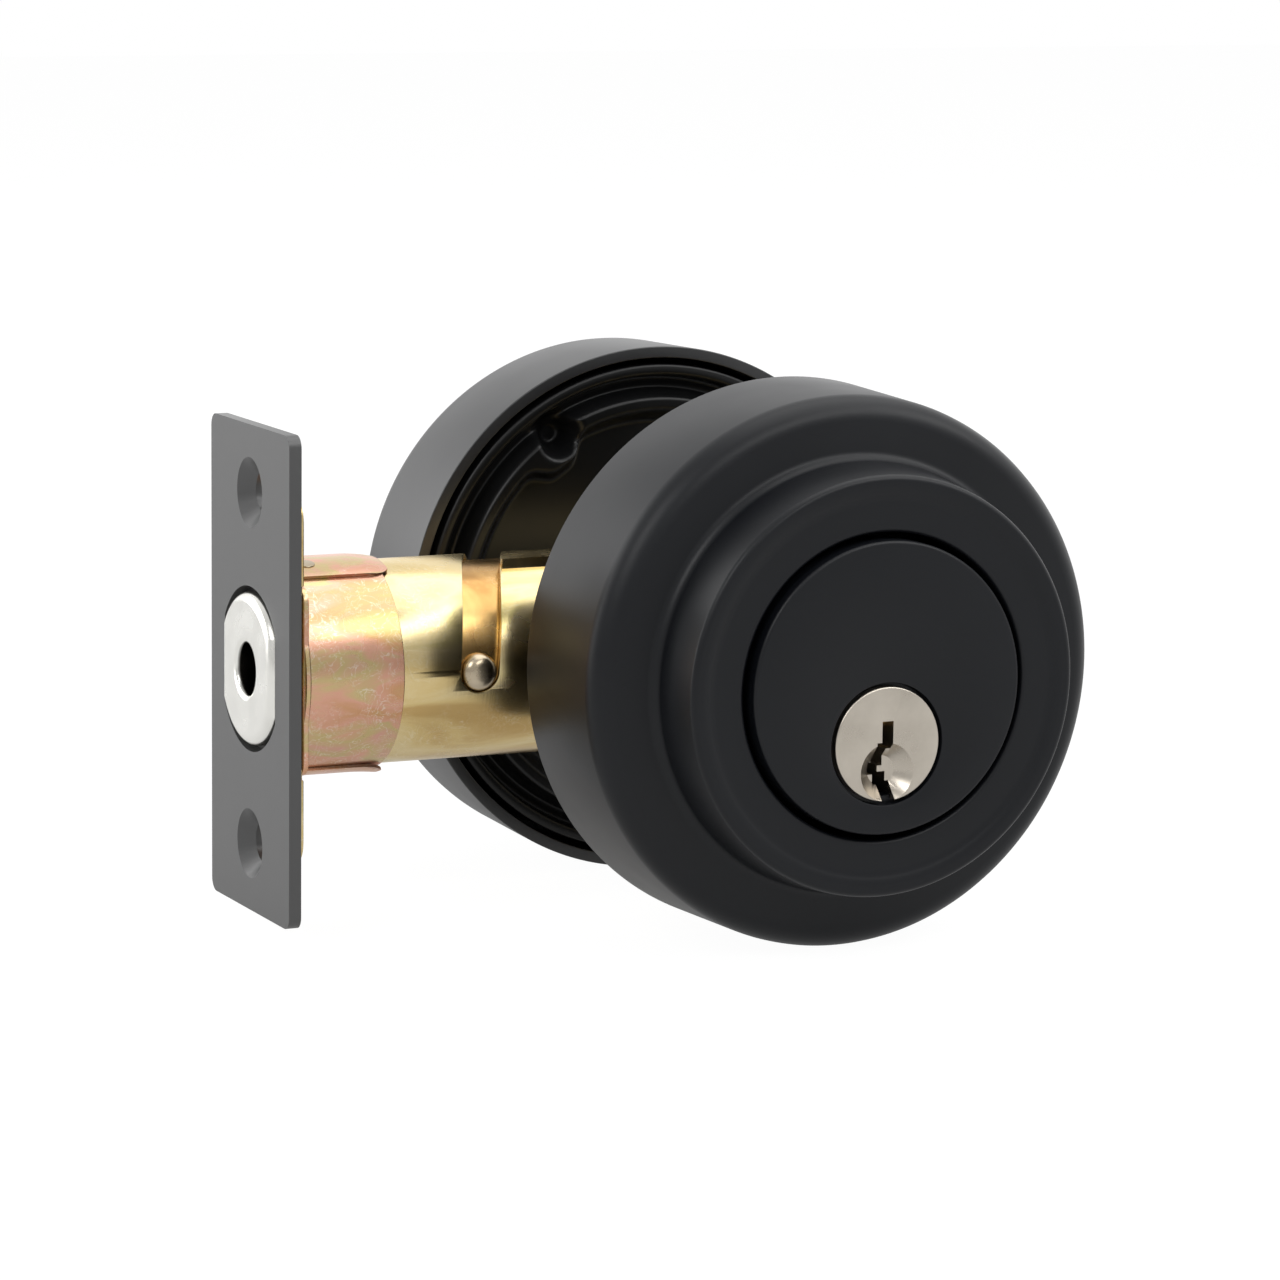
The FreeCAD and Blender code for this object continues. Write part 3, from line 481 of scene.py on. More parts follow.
def makePlug():
    z = lock["plugZ"]
    bm = turnOnY([(0, plug["face"], 0), (plug["head"], plug["face"], plug["edge"]),
                  (plug["head"], plug["face"] - plug["headDeep"], 0), (plug["body"], plug["face"] - plug["headDeep"], 0),
                  (plug["body"], plug["back"], 0), (plug["stub"], plug["back"], 0),
                  (plug["stub"], plug["stubEnd"], 0.3),
                  (0, plug["stubEnd"], 0)], -1, z, steps=128)
    piece = toPiece("cylinderPlug", bm, "satin_nickel", "cylinder", ["cylinder_plug"])
    front, rear = depthY(-1, plug["face"] + 1), depthY(-1, plug["keyEnd"])
    keyway = [slab(x0, x1, front, rear, z + low, z + high) for x0, x1, low, high in plug["wards"]]
    deep = plug["guideDeep"]
    guideZ = z - plug["guideDrop"]
    guide = turnOnY([(0, plug["face"] + 0.4, 0), (plug["guideRadius"] + 0.25, plug["face"] + 0.4, 0),
                     (plug["guideRadius"] - 0.15, plug["face"] - 0.15, 0),
                     (plug["guideRadius"] - deep, plug["face"] - deep, 0),
                     (0, plug["face"] - deep, 0)], -1, guideZ, steps=64)
    carve(piece, [cutterFrom(ward) for ward in keyway] + [cutterFrom(guide)], 0.06, 2)
    return piece


makePlug()
print("cylinder shaped")

# faceplate and bolt

faceplate = {"width": 25.4, "height": 57.15, "thick": 1.5, "corner": 1.5, "edge": 0.22, "screwZ": 20.65,
             "screwHole": 2.4,
             "screwSink": 4.1, "windowRadius": 9.7, "windowHalf": 8.2,
             "dimple": 3.4, "dimpleEnd": 2.8}


def flatD(radius, half, x0, x1, segments=144):
    # a round bar with two flats
    bm = rodOnX(radius, radius, x0, x1, segments=segments)
    for side in (-1, 1):
        bmesh.ops.bisect_plane(bm, geom=bm.verts[:] + bm.edges[:] + bm.faces[:], plane_co=(0, side * half, 0),
                               plane_no=(0, side, 0), clear_outer=True)
        bmesh.ops.holes_fill(bm, edges=[edge for edge in bm.edges if edge.is_boundary])
    return bm


def uprightPlate(x0, x1, width, height, corner, segments=8):
    # split down the middle, so that each hole in it leaves two plain outlines
    bm = slab(x0, x1, -width / 2, width / 2, -height / 2, height / 2)
    upright = [edge for edge in bm.edges if abs(edge.verts[0].co.x - edge.verts[1].co.x) > (x1 - x0) / 2]
    bmesh.ops.bevel(bm, geom=upright, offset=corner, offset_type="OFFSET", segments=segments, profile=0.5,
                    affect="EDGES", material=-1)
    bmesh.ops.bisect_plane(bm, geom=bm.verts[:] + bm.edges[:] + bm.faces[:], plane_co=(0, 0, 0), plane_no=(0, 1, 0))
    return bm


def makeFaceplate():
    x0 = lock["plateX"]
    bm = uprightPlate(x0, x0 + faceplate["thick"], faceplate["width"], faceplate["height"], faceplate["corner"])
    piece = toPiece("facePlate", bm, "black_enamel", "lock_case", ["faceplate"])
    cutters = [cutterFrom(flatD(faceplate["windowRadius"], faceplate["windowHalf"], x0 - 1, x0 + 3))]
    sink = faceplate["screwSink"]
    joins = []
    for z in (-faceplate["screwZ"], faceplate["screwZ"]):
        dimple = rodOnX(faceplate["dimple"], faceplate["dimple"] - 0.25, x0 + 1, x0 + faceplate["dimpleEnd"], 0, z)
        joins.append(cutterFrom(dimple))
        cutters.append(cutterFrom(rodOnX(faceplate["screwHole"], faceplate["screwHole"], x0 - 1, x0 + 4, 0, z)))
        cutters.append(cutterFrom(rodOnX(sink + 0.4, sink - 1.7, x0 - 0.4, x0 + 1.7, 0, z)))
    carve(piece, cutters, faceplate["edge"], 3, joins=joins, flatX=True)
    # painted sheen: the faceplate takes the lighter copy of the black enamel
    piece.data.materials[0] = makeSatinBlack("plate")
    return piece


makeFaceplate()

bolt = {"radius": 9.0, "half": 7.8, "proud": 0.6, "rear": -24.0, "edge": 1.15, "hole": 3.05,
        "holeDeep": 24.0, "rim": 0.65}


def makeBolt():
    front = lock["plateX"] - bolt["proud"]
    bm = flatD(bolt["radius"], bolt["half"], front, bolt["rear"])
    bmesh.ops.remove_doubles(bm, verts=bm.verts, dist=0.2)
    rim = [edge for edge in bm.edges if all(vert.co.x < front + 0.01 for vert in edge.verts)]
    bmesh.ops.bevel(bm, geom=rim, offset=bolt["edge"], offset_type="OFFSET", segments=6, profile=0.5,
                    affect="EDGES", material=-1, clamp_overlap=True)
    piece = toPiece("boltBody", bm, "nickel_bolt", "bolt", ["bolt"])
    hole, soft = bolt["hole"], bolt["rim"]
    drill = turnOnX([(front - 1, 0, 0), (front - 1, hole + 1 + soft, 0), (front, hole + soft, 0),
                     (front + soft * 0.15, hole + soft * 0.45, 0), (front + soft * 0.45, hole + soft * 0.15, 0),
                     (front + soft, hole, 0), (front + bolt["holeDeep"], hole, 0),
                    (front + bolt["holeDeep"], 0, 0)], 96)
    slotCut = slab(bolt["rear"] - 10, bolt["rear"] + 1, -1.05, 1.05, -10, 10)
    carve(piece, [cutterFrom(drill), cutterFrom(slotCut)], flatX=True)
    return piece


makeBolt()
print("faceplate and bolt shaped")

# backing plate behind the faceplate

backing = {"width": 24.0, "height": 43.0, "thick": 0.6, "corner": 3.0, "notch": 0.5, "notchHalf": 11.2, "bore": 11.3,
           "screwHole": 3.5, "edge": 0.14}


def makeBackingPlate():
    x0 = lock["plateX"] + faceplate["thick"]
    bm = uprightPlate(x0, x0 + backing["thick"], backing["width"], backing["height"], backing["corner"])
    piece = toPiece("backingPlate", bm, "gold_zinc", "lock_case", ["backing_plate"])
    half, notch = backing["width"] / 2, backing["notch"]
    cutters = [cutterFrom(rodOnX(backing["bore"], backing["bore"], x0 - 1, x0 + 2))]
    for side in (-1, 1):
        z = side * faceplate["screwZ"]
        cutters.append(cutterFrom(rodOnX(backing["screwHole"], backing["screwHole"], x0 - 1, x0 + 2, 0, z)))
        cutters.append(cutterFrom(slab(x0 - 1, x0 + 2, side * half - notch, side * half + notch,
                                       -backing["notchHalf"], backing["notchHalf"])))
    carve(piece, cutters, backing["edge"], 2, flatX=True)
    return piece


makeBackingPlate()

# latch: collar, front sleeve, rear tube and stud

collar = {"x0": -57.9, "flangeX": -57.3, "rear": -45.6, "bore": 12.05, "outer": 12.4, "width": 24.0, "height": 22.0,
          "corner": 2.0, "sleeveBore": 11.25, "edge": 0.12}


def makeCollar():
    x0, flangeX, outer = collar["x0"], collar["flangeX"], collar["outer"]
    bm = uprightPlate(x0, flangeX, collar["width"], collar["height"], collar["corner"])
    piece = toPiece("latchCollar", bm, "pink_zinc", "lock_case", ["latch_collar"])
    bore = collar["sleeveBore"]
    carve(piece, [cutterFrom(rodOnX(bore, bore, x0 - 1, flangeX + 1))], collar["edge"], 2, flatX=True)
    neck = turnOnX([(x0 + 0.05, bore + 0.02, 0.0), (flangeX, bore + 0.02, 0.0), (flangeX, collar["bore"], 0),
                    (collar["rear"], collar["bore"], 0.12), (collar["rear"], outer, 0.12),
                    (flangeX + 0.05, outer, 0.0), (flangeX + 0.05, outer + 0.4, 0.2), (x0 + 0.05, outer + 0.4, 0)], 192)
    neckPiece = toPiece("latchCollarNeck", neck, "pink_zinc", "lock_case", ["latch_collar"])
    return piece, neckPiece


makeCollar()

finger = {"radius": 12.80, "thick": 0.36, "halfAngle": 27.0, "x0": -57.9, "tip": -44.6, "lowerTip": -45.4,
          "root": 11.0, "bend": 0.8, "tipDrop": 0.40, "tipRise": 0.22, "tipLength": 1.6,
          "steps": 28, "rivetX": -54.2, "rivetRadius": 1.0}


def makeFinger(side, name):
    # a strap that rises from the flange, bends back over the collar and curls at its tip
    outer, inner = finger["radius"], finger["radius"] - finger["thick"]
    curl = -finger["tipDrop"] if side > 0 else finger["tipRise"]
    x0, tip = finger["x0"], finger["tip"] if side > 0 else finger["lowerTip"]
    corners = [(x0, finger["root"], 0), (x0, outer, finger["bend"]), (tip - finger["tipLength"], outer, 2.0),
               (tip, outer + curl, 0.2), (tip, inner + curl, 0.2), (tip - finger["tipLength"], inner, 2.0),
               (x0 + finger["thick"], inner, finger["bend"] - finger["thick"] + 0.05),
               (x0 + finger["thick"], finger["root"], 0)]
    bm = profileLine(corners, lambda x, radius: (x, 0, side * radius), True, 6)
    bmesh.ops.rotate(bm, verts=bm.verts, matrix=Matrix.Rotation(math.radians(-finger["halfAngle"]), 3, "X"))
    face = bmesh.ops.contextual_create(bm, geom=bm.edges[:])["faces"]
    bmesh.ops.spin(bm, geom=face, cent=(0, 0, 0), axis=(1, 0, 0), angle=math.radians(2 * finger["halfAngle"]),
                   steps=finger["steps"])
    for vert in bm.verts:
        # the tip narrows to round corners
        far = max(0.0, (vert.co.x - (tip - 2.2)) / 2.2)
        if far:
            radius = math.hypot(vert.co.y, vert.co.z)
            turn = math.asin(vert.co.y / radius) * (1 - 0.22 * far ** 2.5)
            vert.co.y, vert.co.z = radius * math.sin(turn), math.copysign(radius * math.cos(turn), vert.co.z)
    return toPiece(name, bm, "pink_zinc", "lock_case", ["latch_collar"], 40)


makeFinger(1, "upperFinger")
makeFinger(-1, "lowerFinger")


def makeFingerRivet():
    radius = finger["rivetRadius"]
    bm = profileLine([(0, 0.12, 0), (radius, 0.12, 0.08), (radius, -0.3, 0), (0, -0.3, 0)],
                     lambda across, rise: (across, 0, finger["radius"] + rise), False, 4)
    spinAll(bm, (0, 0, 1), 40)
    turn = Matrix.Rotation(math.radians(14), 3, "X")
    bmesh.ops.rotate(bm, verts=bm.verts, matrix=turn)
    bmesh.ops.translate(bm, vec=(finger["rivetX"], 0, 0), verts=bm.verts)
    return toPiece("fingerRivet", bm, "nickel_stud", "lock_case", ["latch_collar"])


makeFingerRivet()

sleeve = {"radius": 11.2, "wall": 0.7, "front": -58.4, "rear": -21.0}


def makeFrontSleeve():
    radius, wall = sleeve["radius"], sleeve["wall"]
    bm = turnOnX([(sleeve["front"], radius, 0.15), (sleeve["rear"], radius, 0.15),
                  (sleeve["rear"], radius - wall, 0.15),
                  (sleeve["front"], radius - wall, 0.15)], 192)
    return toPiece("frontSleeve", bm, "gold_zinc", "lock_case", ["latch_front_sleeve"])


makeFrontSleeve().data.materials[0] = makeChromate("amber")

stud = {"x": -36.0, "seat": 11.2, "rise": 1.7, "radius": 2.25, "shank": 1.4}


def makeStud():
    seat, rise, radius, shank = stud["seat"], stud["rise"], stud["radius"], stud["shank"]
    bm = profileLine([(0, seat + rise, 0), (radius * 0.62, seat + rise - 0.14, 0.5), (radius, seat + rise * 0.42, 0.6),
                      (radius, seat + 0.02, 0.15), (shank, seat + 0.02, 0), (shank, seat - 0.7, 0), (0, seat - 0.7, 0)],
                     lambda across, reach: (across, -reach, 0), False, 6)
    spinAll(bm, (0, 1, 0), 72)
    bmesh.ops.translate(bm, vec=(stud["x"], 0, 0), verts=bm.verts)
    return toPiece("slotStud", bm, "nickel_stud", "lock_case", ["slot_stud"], 40)


makeStud()

tube = {"front": -50.0, "rear": 24.0, "radius": 12.0, "wall": 0.7, "edge": 0.12, "seam": -90.0, "step": 2.5,
        "slotWidth": 4.8, "slotStart": -36.0, "slotLead": 0.0135, "slotCurve": 0.0005, "slotBend": 90, "slotEnd": 136,
        "flapFront": -30.3, "flapNear": 5.0, "flapTop": 12.05, "flapFar": 0.6,
        "armHalf": 17.0, "armSide": 3.7, "forkHalf": 18.2, "forkSide": 1.3,
        "hubHole": 5.45, "postHole": 3.9, "postX": 17.0,
        "bendAngles": [65.0, 65.8, 67.2, 67.8, 68.6, 92.6, 93.1], "bendPlaces": [-24.0, -18.2, -10, 0, 10, 17]}


def slotX(angle):
    bent = min(angle, tube["slotBend"])
    slope = tube["slotLead"] + 2 * tube["slotCurve"] * tube["slotBend"]
    return tube["slotStart"] + tube["slotLead"] * bent + tube["slotCurve"] * bent ** 2 + slope * (angle - bent)


def arcLength(angle):
    return math.radians(angle) * tube["radius"]


def flatSlot():
    # the slot as a ribbon on the unrolled tube: along X, with the way round the tube along Y
    bm = bmesh.new()
    half = tube["slotWidth"] / 2
    first = [bm.verts.new((slotX(0) + side * half, 0, -1.5)) for side in (-1, 1)]
    front = [bm.edges.new(first)]
    for angle in range(3, tube["slotEnd"] + 1, 3):
        grown = bmesh.ops.extrude_edge_only(bm, edges=front)["geom"]
        moved = [item for item in grown if isinstance(item, bmesh.types.BMVert)]
        front = [item for item in grown if isinstance(item, bmesh.types.BMEdge)
                 and all(vert in moved for vert in item.verts)]
        bmesh.ops.translate(bm, verts=moved, vec=(slotX(angle) - slotX(angle - 3), arcLength(3), 0))
    raised = bmesh.ops.extrude_face_region(bm, geom=bm.faces[:])["geom"]
    bmesh.ops.translate(bm, verts=[item for item in raised if isinstance(item, bmesh.types.BMVert)], vec=(0, 0, 3))
    return bm


def flatDisc(x, y, radius):
    bm = bmesh.new()
    bmesh.ops.create_cone(bm, cap_ends=True, segments=64, radius1=radius, radius2=radius, depth=3,
                          matrix=Matrix.Translation((x, y, 0)))
    return bm


def flapRise(angle):
    # how far the folded flap stands above the round tube, at this angle up from -Y
    turn = math.radians(angle)
    across, up = tube["radius"] * math.cos(turn), tube["radius"] * math.sin(turn)
    if angle < 0 or angle > 170 or across > tube["flapNear"] or across < -tube["flapFar"] or up < 0:
        return 0.0
    side, above = tube["flapNear"] / max(math.cos(turn), 0.001), tube["flapTop"] / math.sin(turn)
    return max(0.0, min(side, above) - tube["radius"])


def makeRearTube():
    start, end = arcLength(tube["seam"]), arcLength(tube["seam"] + 360)
    wall = tube["wall"]
    bm = slab(tube["front"], tube["rear"], start - 2, end + 2, -wall, 0)
    piece = toPiece("rearTube", bm, "gold_zinc", "lock_case", ["latch_rear_tube"])
    top = arcLength(90)
    arm = arcLength(math.degrees(math.asin(tube["armSide"] / tube["radius"])))
    fork = arcLength(math.degrees(math.asin(tube["forkSide"] / tube["radius"])))
    half = tube["slotWidth"] / 2
    last = tube["slotEnd"] - 1
    cutters = [flatSlot(), flatDisc(slotX(0), 0, half), flatDisc(slotX(last), arcLength(last), half),
               slab(-tube["armHalf"], tube["armHalf"], top - arm, top + arm, -2, 2),
               slab(-tube["forkHalf"], tube["forkHalf"], top - fork, top + fork, -2, 2)]
    carve(piece, [cutterFrom(cutter) for cutter in cutters], tube["edge"], 2)
    bm = bmesh.new()
    bm.from_mesh(piece.data)
    bmesh.ops.scale(bm, vec=(1 / lock["metre"],) * 3, verts=bm.verts)
    everything = lambda: bm.verts[:] + bm.edges[:] + bm.faces[:]
    for y, outward in ((start, -1), (end, 1)):
        bmesh.ops.bisect_plane(bm, geom=everything(), plane_co=(0, y, 0), plane_no=(0, outward, 0), clear_outer=True)
    cuts = [tube["seam"] + tube["step"] * count for count in range(1, int(360 / tube["step"]))]
    for angle in cuts + tube["bendAngles"]:
        bmesh.ops.bisect_plane(bm, geom=everything(), plane_co=(0, arcLength(angle), 0), plane_no=(0, 1, 0))
    for x in [tube["flapFront"] - 0.06, tube["flapFront"]] + tube["bendPlaces"]:
        bmesh.ops.bisect_plane(bm, geom=everything(), plane_co=(x, 0, 0), plane_no=(1, 0, 0))
    for vert in bm.verts:
        angle = math.degrees(vert.co.y / tube["radius"])
        radius = tube["radius"] + vert.co.z
        if vert.co.x > tube["flapFront"] - 0.01:
            radius += flapRise(angle)
        turn = math.radians(angle)
        vert.co.y, vert.co.z = -radius * math.cos(turn), radius * math.sin(turn)
    old = piece.data
    bpy.data.objects.remove(piece)
    bpy.data.meshes.remove(old)
    piece = toPiece("rearTube", bm, "gold_zinc", "lock_case", ["latch_rear_tube"])
    plugZ = lock["plugZ"]
    holes = [rodOnY(tube["hubHole"], -14, 14, 0, plugZ)]
    holes += [rodOnY(tube["postHole"], -14, 14, side * tube["postX"], plugZ) for side in (-1, 1)]
    carve(piece, [cutterFrom(hole) for hole in holes])
    return piece


makeRearTube()
print("latch shaped")

# inside: rose, mounting plate and turn piece

insideRose = {"face": 22.9, "shaft": 6.95, "screw": 1.8, "screwY": 23.5}


def makeInteriorRose():
    wall = rose["wall"]
    baseRadius, baseDepth = rose["ringBase"]
    lipRadius, face = rose["ringLip"][0], insideRose["face"]
    bm = turnOnY([
        (rose["rim"], 0, 0.15), (rose["top"], rose["shoulder"], 2.7), (baseRadius, baseDepth, 1.1),
        (lipRadius, face, 1.0), (0, face, 0), (0, face - wall, 0), (lipRadius - wall, face - wall, 0),
        (baseRadius - wall, baseDepth - wall, 0), (rose["top"] - wall, rose["shoulder"] - wall, 1.2),
        (rose["rim"] - wall, 0, 0.15)], 1, lock["roseZ"], steps=256)
    piece = toPiece("interiorRose", bm, "black_enamel", "lock_case", ["interior_rose"])
    shaft = rodOnY(insideRose["shaft"], lock["halfDoor"] + 15, lock["halfDoor"] + 25, 0, lock["plugZ"])
    screw = bmesh.new()
    radius = insideRose["screw"]
    bmesh.ops.create_cone(screw, cap_ends=True, segments=48, radius1=radius, radius2=radius, depth=8,
                          matrix=Matrix.Translation((0, insideRose["screwY"], lock["roseZ"] - rose["rim"])))
    carve(piece, [cutterFrom(shaft), cutterFrom(screw)])
    # painted sheen: the inside rose takes the lighter copy of the black enamel
    piece.data.materials[0] = makeSatinBlack("inside")
    return piece


makeInteriorRose()

mountPlate = {"radius": 30.4, "thick": 1.2, "setBack": 2.1, "skirt": 9.0, "rim": 1.5, "ridge": (28.6, 0.5, 0.9),
              "bandIn": 24.1, "bandOut": 26.8, "bandFlank": 1.15, "bandReach": -0.75,
              "detour": 2.5, "detourAngle": 124.0,
              "detourSpan": 8.0, "pocketAngle": 120.5, "pocketRadius": 25.6, "pocketSize": 2.2, "pocketDeep": 1.6,
              "shaft": 8.0, "boltHole": 2.7, "boltX": 17.0, "steps": 420,
              "flatRadii": [0.0, 4.0, 8.0, 12.0, 16.0, 18.5, 19.5], "fineFrom": 20.0, "fineStep": 0.16}


def softStep(value, low, high):
    value = min(1.0, max(0.0, (value - low) / (high - low)))
    return value * value * (3 - 2 * value)


def pressedDepth(radius, angle):
    # depth of the pressed face: a raised band that swings inwards round a pocket
    plate = mountPlate
    depth = plate["setBack"]
    away = (angle - plate["detourAngle"] + 180) % 360 - 180
    swing = plate["detour"] * math.exp(-(away / plate["detourSpan"]) ** 4)
    flank = plate["bandFlank"]
    inner, outer = plate["bandIn"] - swing, plate["bandOut"]
    outerFlank = flank * 0.6
    raised = softStep(radius, inner - flank, inner + flank)
    raised *= 1 - softStep(radius, outer - outerFlank, outer + outerFlank)
    depth += (plate["bandReach"] - plate["setBack"]) * raised
    ridge, reach, width = plate["ridge"]
    depth -= reach * math.exp(-((radius - ridge) / width * 1.6) ** 2)
    turn = math.radians(plate["pocketAngle"])
    near = math.hypot(radius * math.cos(math.radians(angle)) - plate["pocketRadius"] * math.cos(turn),
                      radius * math.sin(math.radians(angle)) - plate["pocketRadius"] * math.sin(turn))
    sunk = 1 - softStep(near, plate["pocketSize"] - 1.2, plate["pocketSize"] + 1.0)
    return depth + (plate["setBack"] + plate["pocketDeep"] - depth) * sunk


def makeMountingPlate():
    plate = mountPlate
    bm = bmesh.new()
    rimIn = plate["radius"] - plate["rim"]
    fine, step = plate["fineFrom"], plate["fineStep"]
    radii = plate["flatRadii"] + [fine + step * count for count in range(0, int((rimIn - fine) / step) + 1)]
    line = [bm.verts.new((radius, depthY(1, plate["setBack"]), 0)) for radius in radii]
    wallTop = [(rimIn + 0.10, 0.35), (rimIn + 0.25, 0.1), (rimIn + 0.6, 0.0), (plate["radius"] - 0.35, 0.0),
               (plate["radius"] - 0.1, 0.1), (plate["radius"], 0.35), (plate["radius"], plate["skirt"])]
    line += [bm.verts.new((radius, depthY(1, depth), 0)) for radius, depth in wallTop]
    for pair in zip(line, line[1:]):
        bm.edges.new(pair)
    bmesh.ops.spin(bm, geom=bm.verts[:] + bm.edges[:], cent=(0, 0, 0), axis=(0, 1, 0), angle=math.tau,
                   steps=plate["steps"], use_merge=True)
    bmesh.ops.remove_doubles(bm, verts=bm.verts, dist=0.0004)
    floorY = depthY(1, plate["setBack"])
    for vert in bm.verts:
        radius = math.hypot(vert.co.x, vert.co.z)
        if radius < rimIn + 0.01 and abs(vert.co.y - floorY) < 0.001:
            vert.co.y = depthY(1, pressedDepth(radius, math.degrees(math.atan2(vert.co.z, vert.co.x))))
    bmesh.ops.translate(bm, vec=(0, 0, lock["roseZ"]), verts=bm.verts)
    piece = toPiece("mountingPlate", bm, "black_enamel", "lock_case", ["interior_mounting_plate"], 60)
    thicken = piece.modifiers.new("wall", "SOLIDIFY")
    thicken.thickness = plate["thick"] * 0.8 * lock["metre"]
    thicken.offset = -1.0
    plugZ, front = lock["plugZ"], lock["halfDoor"]
    holes = [rodOnY(plate["shaft"], front - 2, front + 6, 0, plugZ)]
    holes += [rodOnY(plate["boltHole"], front - 2, front + 6, x, plugZ) for x in (-plate["boltX"], plate["boltX"])]
    carve(piece, [cutterFrom(hole) for hole in holes], smooth=60)
    piece.data.materials[0] = makeSatinBlack("pressed")
    return piece


makeMountingPlate()

turnPiece = {"face": 23.1, "base": 10.5, "baseThick": 3.0, "baseEdge": 1.0, "height": 21.0, "neck": 20.0,
             "length": 39.0,
             "thick": 9.0, "tipThick": 6.4, "edge": 1.3, "shaft": 6.9, "shaftEnd": 6.0, "groove": 19.0, "grooveWide": 1.0,
             "grooveDeep": 1.0, "flare": 8, "taper": 1.5, "corners": (5.0, 3.5)}


def makeThumbturn():
    # a round base, a shaft behind it and a paddle that widens outwards
    turn = turnPiece
    plugZ, face = lock["plugZ"], turn["face"]
    shaft, groove, deep = turn["shaft"], turn["groove"], turn["grooveDeep"]
    bm = turnOnY([(0, turn["shaftEnd"], 0), (shaft, turn["shaftEnd"], 0.4), (shaft, groove, 0),
                  (shaft - deep, groove, 0),
                  (shaft - deep, groove + turn["grooveWide"], 0), (shaft, groove + turn["grooveWide"], 0),
                  (shaft, face, 0),
                  (turn["base"], face, 0.2), (turn["base"], face + turn["baseThick"], turn["baseEdge"]),
                  (0, face + turn["baseThick"], 0)], 1, plugZ, steps=160)
    paddle = bmesh.new()
    low, high = depthY(1, face + 0.5), depthY(1, face + turn["height"])
    neck, length = turn["neck"] / 2, turn["length"] / 2
    flare, taper = turn["flare"], turn["taper"]
    sideCorner, tipCorner = turn["corners"]
    corners = [(low, -neck, 0), (high - flare, -length, sideCorner), (high, -length + taper, tipCorner),
               (high, length - taper, tipCorner), (high - flare, length, sideCorner), (low, neck, 0)]
    points = [paddle.verts.new((-turn["thick"] / 2, corner[0], plugZ + corner[1])) for corner in corners]
    for first, second in zip(points, points[1:] + points[:1]):
        paddle.edges.new((first, second))
    roundCorners(paddle, points, corners, 10)
    face0 = bmesh.ops.contextual_create(paddle, geom=paddle.edges[:])["faces"]
    grown = bmesh.ops.extrude_face_region(paddle, geom=face0)["geom"]
    bmesh.ops.translate(paddle, verts=[item for item in grown if isinstance(item, bmesh.types.BMVert)],
                        vec=(turn["thick"], 0, 0))
    for vert in paddle.verts:
        along = (vert.co.y - low) / (high - low)
        vert.co.x *= 1 - (1 - turn["tipThick"] / turn["thick"]) * along
    bmesh.ops.recalc_face_normals(paddle, faces=paddle.faces)
    rims = [edge for edge in paddle.edges if edge.is_manifold and edge.calc_face_angle(0) > 0.9
            and abs(edge.verts[0].co.x - edge.verts[1].co.x) < 1]
    bmesh.ops.bevel(paddle, geom=rims, offset=turn["edge"], offset_type="OFFSET", segments=5, profile=0.5,
                    affect="EDGES", material=-1, clamp_overlap=True)
    carried = bpy.data.meshes.new("paddle")
    paddle.to_mesh(carried)
    paddle.free()
    bm.from_mesh(carried)
    bpy.data.meshes.remove(carried)
    return toPiece("thumbTurn", bm, "black_enamel", "turn_piece", ["thumbturn"], 38)


makeThumbturn()
print("inside shaped")

supportRing = {"spigotIn": 25.2, "spigot": 26.5, "reach": -3.5, "inner": 22.5,
               "outer": 31.0, "face": 0.2, "thick": 1.6}


def makeSupportRing():
    ring = supportRing
    face, back = ring["face"], ring["face"] + ring["thick"]
    bm = turnOnY([(ring["spigotIn"], ring["reach"], 0.3), (ring["spigot"], ring["reach"], 0.3), (ring["spigot"], face, 0),
                  (ring["outer"], face, 0.4), (ring["outer"], back, 0.3),
                  (ring["inner"], back, 0.2), (ring["inner"], face, 0.2),
                  (ring["spigotIn"], face, 0)], -1, lock["roseZ"], steps=224)
    return toPiece("supportRing", bm, "zinc_plate", "lock_case", ["rose_support_ring"])


makeSupportRing().data.materials[0] = makeHidden("darkZinc")
print("support ring shaped")

# camera, floor and lights

view = {"aim": (-9.998, 0.0, 0.459), "distance": 609.16,
        "azimuth": -25.123, "elevation": 9.289, "roll": 0.691, "lens": 142.51}


def makeCamera():
    azimuth, elevation, roll = (math.radians(view[key]) for key in ("azimuth", "elevation", "roll"))
    level = math.cos(elevation)
    back = Vector((math.sin(azimuth) * level, -math.cos(azimuth) * level, math.sin(elevation)))
    right = Vector((math.cos(azimuth), math.sin(azimuth), 0))
    up = back.cross(right)
    across = right * math.cos(roll) + up * math.sin(roll)
    upward = up * math.cos(roll) - right * math.sin(roll)
    camera = bpy.data.objects.new("camera", bpy.data.cameras.new("camera"))
    bpy.context.collection.objects.link(camera)
    turn = Matrix((across, upward, back)).transposed().to_4x4()
    camera.matrix_world = Matrix.Translation((Vector(view["aim"]) + back * view["distance"]) * lock["metre"]) @ turn
    camera.data.lens = view["lens"]
    camera.data.sensor_width = 36
    camera.data.clip_start = 0.01
    bpy.context.scene.camera = camera
    return camera


makeCamera()

studio = {"floorSize": 4.0, "floorColour": 0.75, "whiteShare": 0.85, "glossShare": 0.5, "glow": 1.14,
          "room": 0.12, "roomFront": 0.60, "roomBack": 1.25, "brightWay": (0.6, 0.8, 0.0)}
lamps = {
    "overhead": {"place": (0.22, -0.02, 0.80), "size": (0.75, 0.75), "power": 2.6},
    "frontHigh": {"place": (0.42, -0.60, 0.70), "size": (1.40, 0.30), "power": 4.0},
    "leftBack": {"place": (-0.75, 0.62, 0.22), "size": (0.8, 0.9), "power": 5.2},
    "upperLeft": {"place": (-0.60, -0.35, 0.55), "size": (0.35, 0.35), "power": 1.6},
}


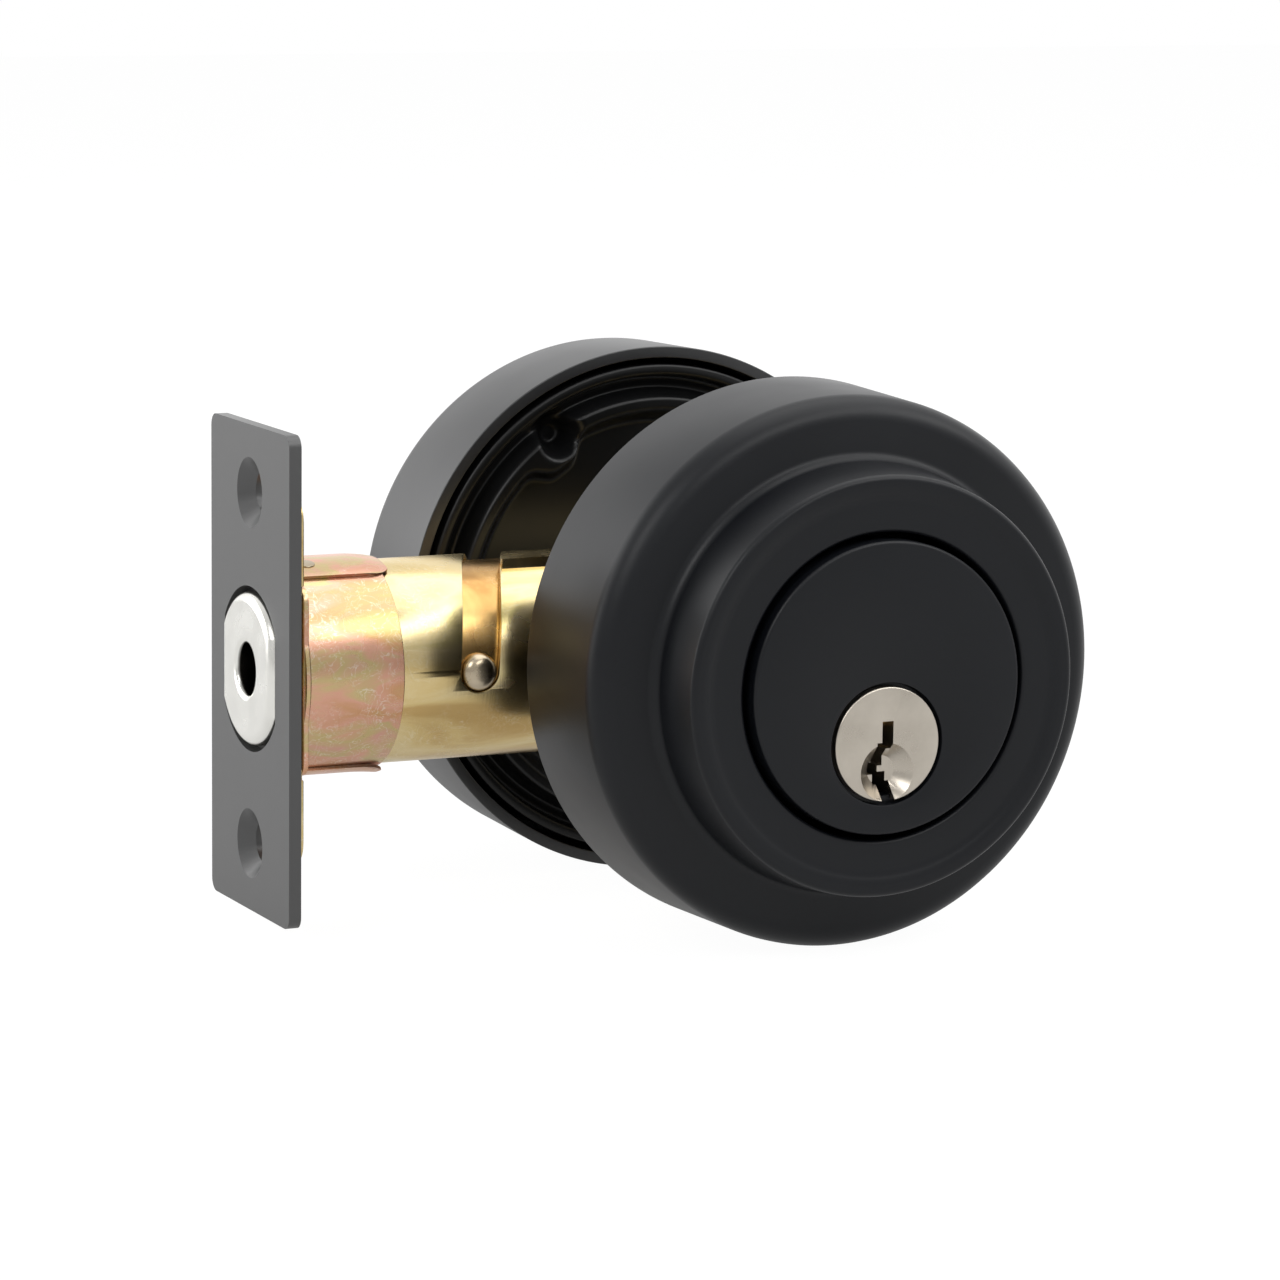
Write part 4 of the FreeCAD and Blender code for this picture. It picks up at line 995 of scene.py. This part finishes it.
def makeStudio():
    bpy.ops.mesh.primitive_plane_add(size=studio["floorSize"], location=(0, 0, cadBox[0][2]))
    floor = bpy.context.object
    floor.name = "floor"
    material, tree, shader = newMaterial("paleFloor", (studio["floorColour"],) * 3, 0.8, 0.0, 0.1)
    white = tree.nodes.new("ShaderNodeEmission")
    white.inputs["Strength"].default_value = studio["glow"]
    blend = tree.nodes.new("ShaderNodeMixShader")
    path = tree.nodes.new("ShaderNodeLightPath")
    seen = path.outputs["Is Camera Ray"]
    glossy = addProduct(tree, path.outputs["Is Glossy Ray"], studio["glossShare"])
    for mirrored in (glossy, path.outputs["Is Transmission Ray"]):
        either = tree.nodes.new("ShaderNodeMath")
        either.operation = "MAXIMUM"
        tree.links.new(seen, either.inputs[0])
        tree.links.new(mirrored, either.inputs[1])
        seen = either.outputs["Value"]
    tree.links.new(addProduct(tree, seen, studio["whiteShare"]), blend.inputs["Fac"])
    tree.links.new(shader.outputs["BSDF"], blend.inputs[1])
    tree.links.new(white.outputs["Emission"], blend.inputs[2])
    tree.links.new(blend.outputs["Shader"], tree.nodes["Material Output"].inputs["Surface"])
    floor.data.materials.append(material)
    makeRoom()


def makeRoom():
    # white where it is seen, white towards the back in gloss, and a plain dim level as light
    world = bpy.data.worlds.new("studioWorld")
    bpy.context.scene.world = world
    world.use_nodes = True
    tree = world.node_tree
    path = tree.nodes.new("ShaderNodeLightPath")
    facing = tree.nodes.new("ShaderNodeVectorMath")
    facing.operation = "DOT_PRODUCT"
    facing.inputs[1].default_value = studio["brightWay"]
    tree.links.new(tree.nodes.new("ShaderNodeTexCoord").outputs["Generated"], facing.inputs[0])
    room = tree.nodes["Background"]
    shown = None
    gloss = addRange(tree, facing.outputs["Value"], studio["roomFront"], studio["roomBack"], -0.4, 0.9)
    rays = ((studio["room"], None), (None, "Is Glossy Ray"), (1.0, "Is Transmission Ray"), (1.0, "Is Camera Ray"))
    for level, chosen in rays:
        light = room if chosen is None else tree.nodes.new("ShaderNodeBackground")
        light.inputs["Color"].default_value = (1, 1, 1, 1)
        if level is None:
            tree.links.new(gloss, light.inputs["Strength"])
        else:
            light.inputs["Strength"].default_value = level
        if chosen:
            blend = tree.nodes.new("ShaderNodeMixShader")
            tree.links.new(path.outputs[chosen], blend.inputs["Fac"])
            tree.links.new(shown, blend.inputs[1])
            tree.links.new(light.outputs["Background"], blend.inputs[2])
            shown = blend.outputs["Shader"]
        else:
            shown = light.outputs["Background"]
    tree.links.new(shown, tree.nodes["World Output"].inputs["Surface"])


def makeLamps():
    for name, lamp in lamps.items():
        light = bpy.data.lights.new(name, "AREA")
        light.shape = "RECTANGLE"
        light.size, light.size_y = lamp["size"]
        light.energy = lamp["power"]
        holder = bpy.data.objects.new(name, light)
        bpy.context.collection.objects.link(holder)
        holder.location = lamp["place"]
        holder.rotation_euler = (-Vector(lamp["place"])).to_track_quat("-Z", "Y").to_euler()


makeStudio()
makeLamps()
bpy.context.scene.view_settings.view_transform = "Standard"
print("studio ready")
